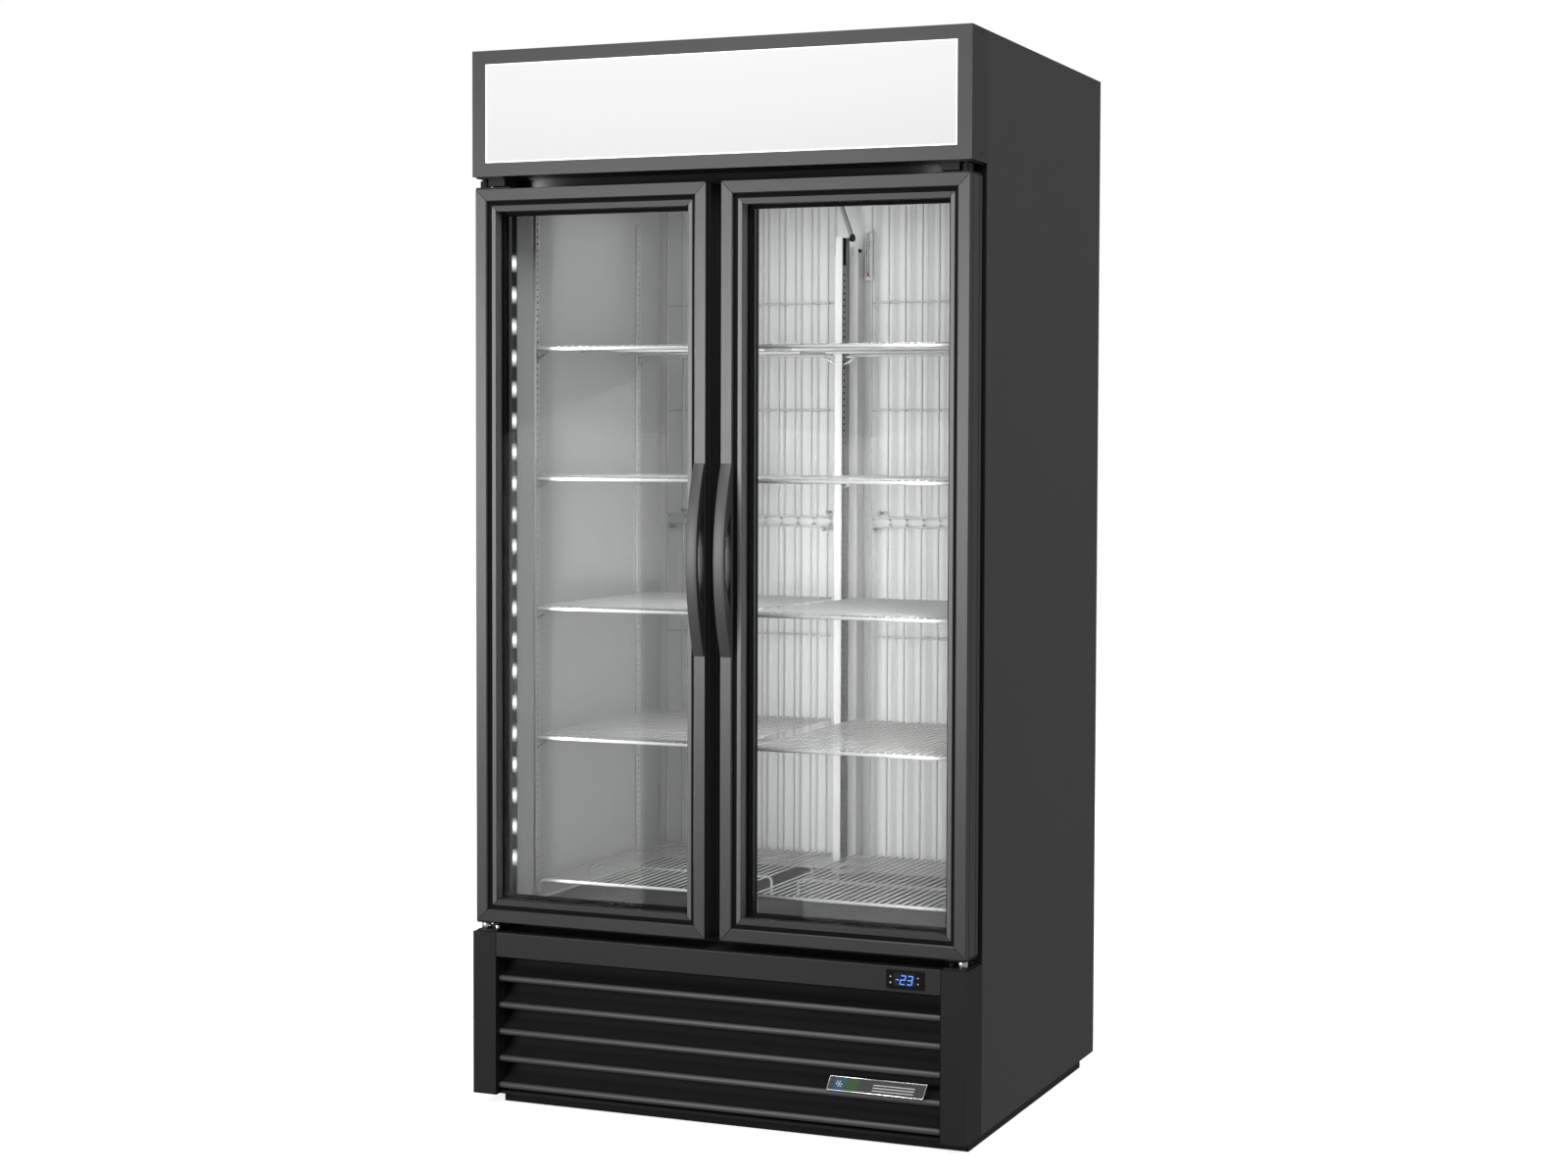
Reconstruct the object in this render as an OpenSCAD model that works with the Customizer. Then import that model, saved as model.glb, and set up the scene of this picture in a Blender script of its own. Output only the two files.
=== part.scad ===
// Two-door upright glass door merchandiser with a lit sign above the doors
// and a bottom-mounted condensing unit behind a louvred grille.
// Millimetres, +Z up, doors face -Y. The origin is on the floor, under the
// middle of the overall box, which runs from the handles' crowns to the rear panel.

/* [Cabinet] */
// Overall width
cab_w = 1004; // [980:2:1040]
// Overall height
cab_h = 1998; // [1960:1:2040]
// Overall depth, from the handles' crowns to the rear panel
overall_d = 788.5; // [780:0.5:810]
// Height of the base frame under the side panels
base_h = 18.5; // [16:0.5:24]
// Thickness of the outer steel sheets
skin_t = 1.5; // [1:0.5:2]
// Half of the clear width inside the cabinet
inner_half_w = 445; // [435:1:450]
// Height of the cabinet floor
floor_z = 373; // [365:1:380]
// Height of the cabinet ceiling
ceiling_z = 1940; // [1900:1:1950]

/* [Doors] */
// Thickness of a door without its gasket
door_t = 62; // [58:1:64]
// Thickness of the door gasket
gasket_t = 14; // [10:1:16]
// Gap between the two closed doors
door_gap = 30; // [26:1:34]
// Gap between a door's outer edge and the side of the cabinet
door_inset = 4; // [3:0.5:6]
// Gap under the doors
low_gap = 19; // [18:0.5:22]
// Gap over the doors
top_gap = 22.75; // [22:0.25:26]
// Width of the flat aluminium face around a door
face_w = 24; // [22:1:26]
// Distance from a door's edge to the visible glass
glass_inset = 43; // [42:1:46]
// Distance of the hinge pin from the side of the cabinet
pivot_inset = 16; // [14:0.5:16]
// Distance of the hinge pin behind the door's front face
pivot_depth = 18; // [16:0.5:22]
// Diameter of the hinge pins
pin_d = 12.7; // [10:0.1:12.7]

/* [Handles] */
// Length of a bow handle
handle_len = 354; // [320:1:380]
// Width of a bow handle
handle_w = 21.75; // [20:0.25:22]
// How far a handle stands out from its door
handle_reach = 35; // [32:1:38]
// Height of the handles' centres
handle_z = 1049; // [1000:0.5:1100]

/* [Sign and base] */
// Height of the sign box
sign_h = 235.5; // [220:0.5:250]
// How far the sign stands in front of the doors
sign_proud = 4; // [2:0.5:5]
// Width of the upright sides of the sign's front border
sign_border = 28; // [20:0.5:30]
// Width of the upper and lower sides of the sign's front border
sign_rail = 25.5; // [20:0.5:30]
// Top of the grille and its corner columns
deck_z = 330; // [325:1:334]
// Width of a corner column
column_w = 49.5; // [46:0.5:52]
// Height of the bar over the grille
header_h = 45; // [42:1:46]
// Number of grille louvres
louvre_count = 5; // [4:1:5]
// Height step from one louvre to the next
louvre_pitch = 51.25; // [50:0.25:52]

/* [Shelves] */
// Shelf levels above the floor rack
shelf_levels = 4; // [4:1:4]
// Height step from one shelf to the next
shelf_pitch = 251; // [240:0.5:256]
// Top of the lowest shelf
shelf_z0 = 696.5; // [660:0.5:702]
// Width of one shelf
shelf_w = 408; // [400:1:410]
// Depth of one shelf
shelf_d = 500; // [480:1:505]
// Spacing of the shelf wires
wire_pitch = 15.8; // [15:0.1:18]

/* [Hidden] */
$fn = 48;

// Planes from front to back
half_w = cab_w / 2;
back_y = overall_d / 2;
handle_tip_y = -overall_d / 2;
door_front_y = handle_tip_y + handle_reach;
door_back_y = door_front_y + door_t;
seam_y = door_back_y + gasket_t;
sign_front_y = door_front_y - sign_proud;
column_front_y = sign_front_y - 1.5;
jamb_d = 33;
liner_front_y = seam_y + jamb_d;
liner_back_y = 333;
duct_wall_y = 300;
channel_front_y = 262;
channel_half_w = 26;
guard_y = 281;

// Levels from bottom to top
door_z0 = deck_z + low_gap;
sign_z0 = cab_h - sign_h;
door_z1 = sign_z0 - top_gap;
door_h = door_z1 - door_z0;
compartment_top_z = 345;
jamb_top_z = 1715;
channel_top_z = 1651;
evaporator_z = 1757;

// Doors, as they stand on the right-hand side
door_x0 = door_gap / 2;
door_x1 = half_w - door_inset;
door_w = door_x1 - door_x0;
pivot_x = half_w - pivot_inset;
pivot_y = door_front_y + pivot_depth;
running_gap = 0.05;
bush_r = 9.9;
bush_hole_r = 10;
bush_deep = 25;
hinge_plate_t = 3;

liner_t = 1.5;
// The liner's front edge flares outward to meet the jamb
flare_w = 19.5;
flare_d = 25;
flare_y = seam_y + 45;
// Gap that keeps neighbouring pieces of one node apart
part_gap = 0.2;
pilaster_d = 4;
pilaster_w = 14;
front_pilaster_y = -226;
rear_pilaster_y = 194;
post_front_y = 224;
post_half_w = 7.5;
strip_half_w = 8;
mullion_d = 40;
mullion_back_y = seam_y + mullion_d;
shelf_front_y = -241;
shelf_wire_d = 3.4;
shelf_rod_d = 7;
rack_z = 417;

module box(x0, x1, y0, y1, z0, z1) {
    translate([x0, y0, z0]) cube([x1 - x0, y1 - y0, z1 - z0]);
}

module both_sides() {
    children();
    mirror([1, 0, 0]) children();
}

// A round bar along X, Y or Z from its first end
module bar_x(p, len, d) {
    translate(p) rotate([0, 90, 0]) cylinder(h = len, d = d);
}

module bar_y(p, len, d) {
    translate(p) rotate([-90, 0, 0]) cylinder(h = len, d = d);
}

module bar_z(p, len, d) {
    translate(p) cylinder(h = len, d = d);
}

// ---------------------------------------------------------------- cabinet

// Flat side sheets with a narrow return under each, which rests on the base frame
module side_panels() {
    color([0.16, 0.16, 0.17]) both_sides() {
        box(half_w - skin_t, half_w, seam_y, back_y - skin_t, base_h, cab_h);
        box(half_w - 18, half_w - skin_t, -200, 290, base_h, base_h + skin_t);
    }
}

module top_panel() {
    color([0.2, 0.2, 0.21])
        box(-half_w + skin_t, half_w - skin_t, liner_front_y, back_y - skin_t, cab_h - skin_t, cab_h);
}

// Rear sheet, with rows of air slots across the machine compartment
module rear_panel() {
    slot_rows = 12;
    slot_w = 170;
    slot_h = 6;
    slot_z0 = 70;
    column_step = 210;
    row_step = 18;
    color([0.16, 0.16, 0.17]) difference() {
        box(-half_w, half_w, back_y - skin_t, back_y, base_h, cab_h);
        for (row = [0:slot_rows - 1], col = [-1.5:1:1.5])
            translate([col * column_step - slot_w / 2, back_y - 5, slot_z0 + row * row_step])
                cube([slot_w, 10, slot_h]);
        bar_y([gland_x, back_y - 5, gland_z], 10, 2 * gland_hole_r + 0.2);
    }
}

// Foam between the sheets and the liner: two sides, ceiling, back and floor
module foam_insulation() {
    side_x = inner_half_w + liner_t;
    mid_x = side_x - part_gap;
    rear_y = back_y - skin_t;
    flare_x = side_x + 10;
    color([0.93, 0.87, 0.68]) {
        both_sides() translate([0, 0, compartment_top_z])
            linear_extrude(cab_h - skin_t - compartment_top_z) polygon([
                [flare_x, liner_front_y],
                [half_w - skin_t, liner_front_y],
                [half_w - skin_t, rear_y],
                [side_x, rear_y],
                [side_x, flare_y + part_gap]
            ]);
        box(-mid_x, mid_x, liner_front_y, rear_y, ceiling_z + liner_t, cab_h - skin_t);
        box(-mid_x, mid_x, liner_back_y, rear_y, compartment_top_z, ceiling_z + liner_t - part_gap);
        box(-mid_x, mid_x, liner_front_y, liner_back_y - part_gap, compartment_top_z, floor_z - liner_t);
    }
}

// Interior sheets: walls, floor, ceiling and back
module liner() {
    wall_y = liner_back_y - liner_t;
    mid_x = inner_half_w - part_gap;
    z0 = floor_z - liner_t;
    z1 = ceiling_z + liner_t;
    flare_z = floor_z + part_gap;
    color([0.8, 0.8, 0.8]) {
        both_sides() {
            box(inner_half_w, inner_half_w + liner_t, flare_y, liner_back_y, z0, z1);
            box(inner_half_w, inner_half_w + liner_t, liner_front_y, flare_y, z0, floor_z);
            box(inner_half_w, inner_half_w + liner_t, liner_front_y, flare_y, jamb_top_z, z1);
            translate([0, 0, flare_z]) linear_extrude(jamb_top_z - part_gap - flare_z) polygon([
                [inner_half_w, flare_y],
                [inner_half_w + flare_w, flare_y - flare_d],
                [inner_half_w + flare_w + 1.2, flare_y - flare_d + 0.9],
                [inner_half_w + liner_t, flare_y]
            ]);
        }
        box(-mid_x, mid_x, liner_front_y, wall_y - part_gap, z0, floor_z);
        box(-mid_x, mid_x, liner_front_y, wall_y - part_gap, ceiling_z, z1);
        box(-mid_x, mid_x, wall_y, liner_back_y, z0, z1);
    }
}

// False rear wall in front of the air duct, with the channel behind the centre post
module rear_wall_panel() {
    color([0.84, 0.84, 0.84]) {
        box(-inner_half_w, inner_half_w, duct_wall_y, duct_wall_y + 2, floor_z, evaporator_z);
        box(-channel_half_w, channel_half_w, channel_front_y, duct_wall_y, floor_z, channel_top_z);
    }
}

// Middle of the light strip's back, on the 45 degree face of the jamb
strip_x = inner_half_w + 27.8;
strip_y = seam_y + 17.05;

// Black frame around the opening: sides recessed for the light strips, lintel and sill
module door_jamb() {
    side_z = jamb_top_z - floor_z - 2 * part_gap;
    seal_x = inner_half_w + 25;
    flange_t = 2.5;
    recess_w = 10;
    outer_reach = seal_x + recess_w - strip_x;
    inner_reach = 5;
    color([0.05, 0.05, 0.055]) {
        both_sides() translate([0, 0, floor_z + part_gap]) linear_extrude(side_z) polygon([
            [half_w - skin_t, seam_y],
            [seal_x, seam_y],
            [seal_x, seam_y + flange_t],
            [seal_x + recess_w, strip_y - outer_reach - flange_t],
            [seal_x + recess_w, strip_y - outer_reach],
            [strip_x - inner_reach, strip_y + inner_reach],
            [inner_half_w + liner_t + 10, liner_front_y],
            [half_w - skin_t, liner_front_y]
        ]);
        box(-half_w + skin_t, half_w - skin_t, seam_y, liner_front_y, jamb_top_z, cab_h);
        box(-half_w + skin_t, half_w - skin_t, seam_y, liner_front_y, deck_z, floor_z);
    }
}

module center_mullion() {
    half = 45;
    slope = 16;
    color([0.05, 0.05, 0.055]) translate([0, 0, floor_z]) linear_extrude(jamb_top_z - floor_z) polygon([
        [-half, seam_y],
        [half, seam_y],
        [half, mullion_back_y - slope],
        [half - slope, mullion_back_y],
        [-half + slope, mullion_back_y],
        [-half, mullion_back_y - slope]
    ]);
}

// Base pan with rails, a front lip and four holes for legs or casters
leg_hole_r = 6.5;
leg_x = 475;
leg_front_y = -230;
leg_rear_y = 295;
module base_frame() {
    pan_t = 2;
    sheet = 2.5;
    rail_w = 40;
    side_x = half_w - 7;
    rail_front_y = seam_y + 21;
    lip_y = seam_y - 48;
    rear_y = back_y - 69;
    left_front_x = -half_w + column_w + 0.5;
    color([0.07, 0.07, 0.075]) difference() {
        union() {
            box(-side_x, side_x, rail_front_y, rear_y, base_h - pan_t, base_h);
            box(left_front_x, side_x, lip_y, rail_front_y, base_h - pan_t, base_h);
            box(left_front_x, side_x, lip_y, lip_y + sheet, 0, base_h);
            box(-side_x, side_x, rear_y - sheet, rear_y, 0, base_h);
            box(-side_x, left_front_x, rail_front_y, rail_front_y + sheet, 0, base_h);
            box(-side_x, -side_x + rail_w, rail_front_y, rear_y, 0, sheet);
            box(-side_x, -side_x + sheet, rail_front_y, rear_y, 0, base_h);
            box(side_x - rail_w, side_x, lip_y, rear_y, 0, sheet);
            box(side_x - sheet, side_x, lip_y, rear_y, 0, base_h);
        }
        for (x = [-leg_x, leg_x], y = [leg_front_y, leg_rear_y])
            bar_z([x, y, -1], base_h + 2, 2 * leg_hole_r);
    }
}

// Folded corner covers beside the grille
module corner_columns() {
    color([0.17, 0.17, 0.18]) both_sides() difference() {
        box(half_w - column_w, half_w, column_front_y, seam_y, base_h, deck_z);
        box(half_w - column_w + skin_t, half_w - skin_t, column_front_y + skin_t, seam_y + 1,
            base_h - 1, deck_z - skin_t);
    }
}

// Channel over the grille with the controller's cut-out, and the deck plate behind it
header_half_w = half_w - column_w;
header_z0 = deck_z - header_h;
header_d = 30;
module grille_header() {
    inner_z1 = deck_z - skin_t;
    cutout_inset = 2.5;
    color([0.09, 0.09, 0.095]) difference() {
        box(-header_half_w, header_half_w, column_front_y, seam_y, header_z0, deck_z);
        box(-header_half_w - 1, header_half_w + 1, column_front_y + skin_t, seam_y + 1,
            header_z0 + skin_t, inner_z1);
        box(-header_half_w - 1, header_half_w + 1, column_front_y + header_d, seam_y + 1,
            header_z0 - 1, inner_z1);
        box(ctrl_x0 + cutout_inset, ctrl_x1 - cutout_inset, column_front_y - 1, column_front_y + 5,
            ctrl_z0 + cutout_inset - 0.5, ctrl_z1 - cutout_inset + 0.5);
    }
}

// Louvred grille: blades with a rounded front lip, held between two end plates
lip_r = 6;
lip_y = column_front_y + 13.75;
lip_z0 = 36;
module louvre_section() {
    circle(r = lip_r);
    polygon([[-3, 5], [2, -5.5], [20, 6], [34, 25], [45, 46], [41, 48.5], [29, 28], [15, 12]]);
}

module front_grille() {
    plate_t = 3;
    plate_d = 48;
    color([0.06, 0.06, 0.065]) {
        for (i = [0:louvre_count - 1])
            translate([-header_half_w, lip_y, lip_z0 + i * louvre_pitch])
                rotate([90, 0, 90]) linear_extrude(2 * header_half_w) louvre_section();
        both_sides()
            box(header_half_w - plate_t, header_half_w, lip_y + 2, lip_y + 2 + plate_d, base_h, header_z0);
    }
}

// ---------------------------------------------------------------- sign

module sign_housing() {
    wall = 2;
    color([0.25, 0.25, 0.26]) difference() {
        box(-half_w, half_w, sign_front_y, seam_y, sign_z0, cab_h);
        box(-half_w + wall, half_w - wall, sign_front_y + wall, seam_y + 1, sign_z0 + wall, cab_h - wall);
        box(-half_w + sign_border, half_w - sign_border, sign_front_y - 1, sign_front_y + wall + 1,
            sign_z0 + sign_rail, cab_h - sign_rail);
        for (z = sign_screw_levels)
            bar_x([-half_w - 1, sign_screw_y, z], cab_w + 2, 9.2);
    }
}

module sign_panel() {
    side_gap = 16;
    edge_gap = 15;
    panel_t = 3;
    panel_y = sign_front_y + 2;
    color([0.95, 0.95, 0.95])
        box(-half_w + side_gap, half_w - side_gap, panel_y, panel_y + panel_t,
            sign_z0 + edge_gap, cab_h - edge_gap);
}

// Two lamp bars behind the sign, and an upright LED strip in each side of the jamb
module light_strips() {
    strip_w = 14;
    strip_t = 4;
    strip_z = 400;
    strip_len = 1290;
    lamp_half_w = 460;
    lamp_t = 10;
    lamp_h = 12;
    color([0.95, 0.97, 1]) {
        for (z = [sign_z0 + 62, sign_z0 + 162])
            box(-lamp_half_w, lamp_half_w, seam_y - lamp_t, seam_y, z, z + lamp_h);
        both_sides() translate([strip_x, strip_y, strip_z])
            rotate([0, 0, -45]) translate([-strip_w / 2, -strip_t, 0]) cube([strip_w, strip_t, strip_len]);
    }
}

// Plain slanted emblem plate on the grille
module badge() {
    plate_t = 2.5;
    plate_h = 28.5;
    plate_w = 189;
    slant = 9;
    stud_len = 16;
    stud_d = 5;
    stud_z = 8;
    x0 = header_half_w - 223.5;
    z0 = lip_z0 + louvre_pitch + 5.25;
    color([0.75, 0.76, 0.78]) {
        translate([x0, lip_y - lip_r, z0]) rotate([90, 0, 0]) linear_extrude(plate_t)
            polygon([[0, 0], [plate_w, 0], [plate_w + slant, plate_h], [slant, plate_h]]);
        for (x = [30, plate_w - 20])
            bar_y([x0 + x, lip_y - lip_r - 1, z0 + stud_z], stud_len, stud_d);
    }
}

// ---------------------------------------------------------------- controls

ctrl_w = 73;
ctrl_h = 34.5;
ctrl_x1 = header_half_w - 30.5;
ctrl_x0 = ctrl_x1 - ctrl_w;
ctrl_z0 = header_z0 + 5.5;
ctrl_z1 = ctrl_z0 + ctrl_h;
key_r = 3;
key_pocket_r = 3.08;
key_travel = 0.8;
key_front_y = column_front_y - 2.2;
key_len = 4;
key_left_x = ctrl_x0 + 8.6;
key_right_x = ctrl_x1 - 11.6;
key_low_z = ctrl_z0 + 11;
key_high_z = ctrl_z0 + 21.8;

module controller() {
    bezel_y = column_front_y - 2;
    body_inset = 3;
    body_d = 45;
    color([0.03, 0.03, 0.035]) difference() {
        union() {
            box(ctrl_x0, ctrl_x1, bezel_y, column_front_y, ctrl_z0, ctrl_z1);
            box(ctrl_x0 + body_inset, ctrl_x1 - body_inset, column_front_y, column_front_y + body_d,
                ctrl_z0 + body_inset - 0.5, ctrl_z1 - body_inset + 0.5);
        }
        for (x = [key_left_x, key_right_x], z = [key_low_z, key_high_z])
            bar_y([x, bezel_y - 1, z], key_len + key_travel + 1.4, 2 * key_pocket_r);
    }
}

module key_at(x, z) {
    color([0.75, 0.78, 0.8]) bar_y([x, key_front_y, z], key_len, 2 * key_r);
}

// ---------------------------------------------------------------- interior

// Slotted strips on the side walls and behind the mullion, and the rear centre post
// with the sensor bracket beside its top
module pilasters() {
    z0 = 385;
    z1 = jamb_top_z;
    post_top_z = z1 - 31;
    post_wall = 2;
    bracket_h = 16;
    bracket_d = 18;
    color([0.9, 0.9, 0.9]) {
        both_sides() for (y = [front_pilaster_y, rear_pilaster_y])
            box(inner_half_w - pilaster_d, inner_half_w, y - pilaster_w / 2, y + pilaster_w / 2, z0, z1);
        box(-strip_half_w, strip_half_w, mullion_back_y, mullion_back_y + 8, z0, z1);
        difference() {
            box(-post_half_w, post_half_w, post_front_y, channel_front_y, z0, post_top_z);
            box(-post_half_w + post_wall, post_half_w - post_wall, post_front_y + post_wall,
                channel_front_y + 1, z0 - 1, post_top_z + 1);
        }
        box(post_half_w + 1, channel_half_w, channel_front_y + 1, channel_front_y + 1 + bracket_d,
            channel_top_z, channel_top_z + bracket_h);
    }
}

// Small triangular brackets under each shelf corner
module clip(x, y, z, out) {
    clip_h = 18;
    clip_t = 4;
    translate([x, y + clip_t / 2, z]) rotate([90, 0, 0]) linear_extrude(clip_t)
        polygon([[0, 0], [out, 0], [out, -3], [sign(out) * 3, -clip_h], [0, -clip_h]]);
}

module shelf_clips() {
    color([0.7, 0.7, 0.72]) both_sides() for (level = [0:shelf_levels - 1]) {
        z = shelf_z0 + level * shelf_pitch;
        for (y = [front_pilaster_y, rear_pilaster_y])
            clip(inner_half_w - pilaster_d, y, z - shelf_wire_d, -24);
        clip(post_half_w, post_front_y + 20, z - shelf_wire_d, 28);
        clip(strip_half_w, mullion_back_y + 4, z - shelf_rod_d, 26);
    }
}

// A flat grid of bars in one plane: one outline with a hole for each gap
function grid_points(w, d, cols, rows, bar) =
    let (cell_w = (w - bar) / cols, cell_d = (d - bar) / rows)
    concat(
        [[0, 0], [w, 0], [w, d], [0, d]],
        [for (i = [0:cols - 1], j = [0:rows - 1], c = [[0, 0], [0, 1], [1, 1], [1, 0]])
            [bar + i * cell_w + c[0] * (cell_w - bar), bar + j * cell_d + c[1] * (cell_d - bar)]]);

function grid_paths(cells) =
    concat([[0, 1, 2, 3]], [for (k = [0:cells - 1]) [for (c = [0:3]) 4 + 4 * k + c]]);

module grid(w, d, cols, rows, bar, thick) {
    linear_extrude(thick)
        polygon(points = grid_points(w, d, cols, rows, bar), paths = grid_paths(cols * rows));
}

shelf_x0 = 27;
shelf_cols = round(shelf_w / wire_pitch);

// One wire shelf on the right-hand side, its front edge a thicker rod
module shelf(z) {
    color([0.93, 0.93, 0.93]) {
        translate([shelf_x0, shelf_front_y, z - shelf_wire_d])
            grid(shelf_w, shelf_d, shelf_cols, 3, shelf_wire_d, shelf_wire_d);
        box(shelf_x0, shelf_x0 + shelf_w, shelf_front_y, shelf_front_y + shelf_rod_d,
            z - shelf_rod_d, z - 1);
        box(shelf_x0, shelf_x0 + shelf_w, shelf_front_y + shelf_d - 5, shelf_front_y + shelf_d,
            z - shelf_rod_d, z - 1);
    }
}

// Low racks that keep goods off the cabinet floor
module floor_racks() {
    leg_d = 6;
    leg_h = rack_z - floor_z - 2;
    leg_step = 215;
    color([0.9, 0.9, 0.9]) both_sides() {
        translate([shelf_x0, shelf_front_y + 8, rack_z - shelf_wire_d])
            grid(shelf_w, shelf_d - 8, shelf_cols, 4, shelf_wire_d, shelf_wire_d);
        for (x = [shelf_x0 + leg_d / 2, shelf_x0 + shelf_w - leg_d / 2], k = [0:2])
            bar_z([x, shelf_front_y + 30 + k * leg_step, floor_z], leg_h, leg_d);
    }
}

// Upright wires and cross rods that keep goods off the rear wall, in two lengths,
// on round spacers that hold them away from the wall
guard_wire = 4.5;
guard_first_x = 49;
guard_step = 37;
guard_wires = 11;
guard_split_z = 1102;
guard_top_z = 1750;
guard_low_z = 410;
module rear_guards() {
    w = guard_wire;
    width = guard_step * (guard_wires - 1);
    ends_gap = 12;
    top_rod_z = 1553.5 + w / 2;
    upper_z = guard_split_z + ends_gap / 2 + w / 4;
    lower_z = guard_split_z - ends_gap / 2;
    spacer_d = 10;
    outer_spacer_x = guard_first_x + width - 11;
    upper_spacer_z = guard_split_z + 19;
    lower_spacer_z = guard_split_z - 16;
    spacers = [[-48, upper_spacer_z], [-57, lower_spacer_z], [68, upper_spacer_z], [55, lower_spacer_z],
        [26 - outer_spacer_x, upper_spacer_z], [-outer_spacer_x, lower_spacer_z],
        [outer_spacer_x, upper_spacer_z], [outer_spacer_x, lower_spacer_z]];
    color([0.88, 0.88, 0.88]) {
        both_sides() {
            translate([guard_first_x - w / 2, guard_y + w, upper_z]) rotate([90, 0, 0])
                grid(width + w, top_rod_z - upper_z, guard_wires - 1, 2, w, w);
            translate([guard_first_x - w / 2, guard_y + w, guard_low_z]) rotate([90, 0, 0])
                grid(width + w, lower_z - guard_low_z, guard_wires - 1, 3, w, w);
            for (k = [0:guard_wires - 1])
                translate([guard_first_x + k * guard_step - w / 2, guard_y, top_rod_z - 1])
                    cube([w, w, guard_top_z - top_rod_z + 1]);
        }
        for (spot = spacers)
            bar_y([spot[0], guard_y - 2, spot[1]], duct_wall_y - guard_y + 2, spacer_d);
    }
}

// Clear scale case with its tube, clipped to the rear wall beside the channel
module thermometer() {
    x0 = 30;
    x1 = 44.5;
    z0 = 1600;
    z1 = 1704;
    tube_d = 5;
    clip_h = 6;
    face_y = guard_y + 8;
    color([0.85, 0.88, 0.9]) {
        box(x0, x1, face_y, duct_wall_y, z0, z1);
        bar_z([(x0 + x1) / 2, guard_y + 5, z0 + 6], z1 - z0 - 12, tube_d);
        for (z = [z0 + 2, z1 - 8])
            box(x0 + 2, x1 - 2, guard_y + 3, face_y + 0.5, z, z + clip_h);
    }
}

// Drain tube that comes down from the evaporator at the top of the centre post
module drain_tube() {
    top = [-15, guard_y - 12, evaporator_z - 3];
    tilt = 20.3;
    len = 74;
    tube_d = 9;
    tip_d = 13;
    color([0.55, 0.55, 0.56]) translate(top) rotate([0, 180 - tilt, 0]) {
        cylinder(h = len, d = tube_d);
        translate([0, 0, len]) sphere(d = tip_d);
    }
}

// ---------------------------------------------------------------- evaporator

evap_fan_y = 20;
evap_fan_r = 95;
shaft_r = 4;
// Tray under the ceiling unit, with the fan's intake hole and the air outlet slots
module evaporator_cover() {
    front_y = -150;
    sheet = 2;
    fan_gap = 8;
    slots = 6;
    slot_half_w = 380;
    slot_h = 10;
    slot_step = 20;
    slot_z0 = evaporator_z + 40;
    color([0.8, 0.8, 0.8]) difference() {
        union() {
            box(-inner_half_w, inner_half_w, front_y, duct_wall_y + 2, evaporator_z, evaporator_z + sheet);
            box(-inner_half_w, inner_half_w, front_y, front_y + sheet, evaporator_z, ceiling_z);
        }
        bar_z([0, evap_fan_y, evaporator_z - 1], sheet + 2, 2 * (evap_fan_r + fan_gap));
        for (z = [slot_z0:slot_step:slot_z0 + (slots - 1) * slot_step])
            box(-slot_half_w, slot_half_w, front_y - 1, front_y + 3, z, z + slot_h);
    }
}

// A finned block with its return bends at both ends
module coil(w, d, h, tubes) {
    bend = 18;
    tube_d = 9.5;
    color([0.72, 0.73, 0.75]) {
        translate([-w / 2, 0, 0]) cube([w, d, h]);
        for (k = [0:tubes - 1])
            bar_x([-w / 2 - bend, d / 2, h * (k + 0.5) / tubes], w + 2 * bend, tube_d);
    }
}

module evaporator_coil() {
    translate([0, 190, evaporator_z + 2]) coil(700, 90, 150, 5);
}

// Four pitched blades on a hub that turns on its motor's shaft, axis +Z
module fan(blade_r, hub_r, hub_h, shaft_len) {
    blade_w = 52;
    blade_pitch = 24;
    blade_root = hub_r - 4;
    color([0.2, 0.2, 0.21]) {
        cylinder(r = hub_r, h = hub_h);
        cylinder(r = shaft_r, h = hub_h + shaft_len);
        for (a = [0:90:270])
            rotate([0, 0, a]) translate([blade_root, 0, hub_h / 2]) rotate([blade_pitch, 0, 0])
                translate([0, -blade_w / 2, -1]) cube([blade_r - hub_r, blade_w, 2]);
    }
}

fan_hub_h = 22;
evap_fan_z = evaporator_z + 6;
module evaporator_fan() {
    translate([0, evap_fan_y, evap_fan_z]) fan(evap_fan_r, 24, fan_hub_h, 26);
}

// ---------------------------------------------------------------- machine compartment

cond_fan_x = 10;
cond_fan_z = base_h + 130;
cond_fan_r = 105;
shroud_back_y = -106;
cond_fan_y = shroud_back_y + 2;
module condenser_coil() {
    translate([cond_fan_x, -235, base_h]) coil(330, 66, 255, 8);
}

module fan_shroud() {
    half = 150;
    depth = 60;
    height = 260;
    sheet = 2;
    fan_gap = 6;
    color([0.35, 0.36, 0.38]) difference() {
        box(cond_fan_x - half, cond_fan_x + half, shroud_back_y - depth, shroud_back_y,
            base_h, base_h + height);
        box(cond_fan_x - half + sheet, cond_fan_x + half - sheet,
            shroud_back_y - depth - 1, shroud_back_y - sheet,
            base_h + sheet, base_h + height - sheet);
        bar_y([cond_fan_x, shroud_back_y - 10, cond_fan_z], 20, 2 * (cond_fan_r + fan_gap));
    }
}

module condenser_fan() {
    translate([cond_fan_x, cond_fan_y, cond_fan_z]) rotate([-90, 0, 0]) fan(cond_fan_r, 26, fan_hub_h, 26);
}

motor_d = 84;
motor_h = 62;
motor_arm_w = 16;
motor_arm_t = 6;
motor_arm_z = 20;
motor_gap = 2;
motor_bore = 29;
// Motor can with a blind bore for the fan's shaft and two mounting arms
module motor_can(arm_len) {
    difference() {
        union() {
            cylinder(d = motor_d, h = motor_h);
            translate([-arm_len, -motor_arm_w / 2, motor_arm_z])
                cube([2 * arm_len, motor_arm_w, motor_arm_t]);
        }
        translate([0, 0, -1]) cylinder(r = shaft_r + running_gap, h = motor_bore + 1);
    }
}

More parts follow.
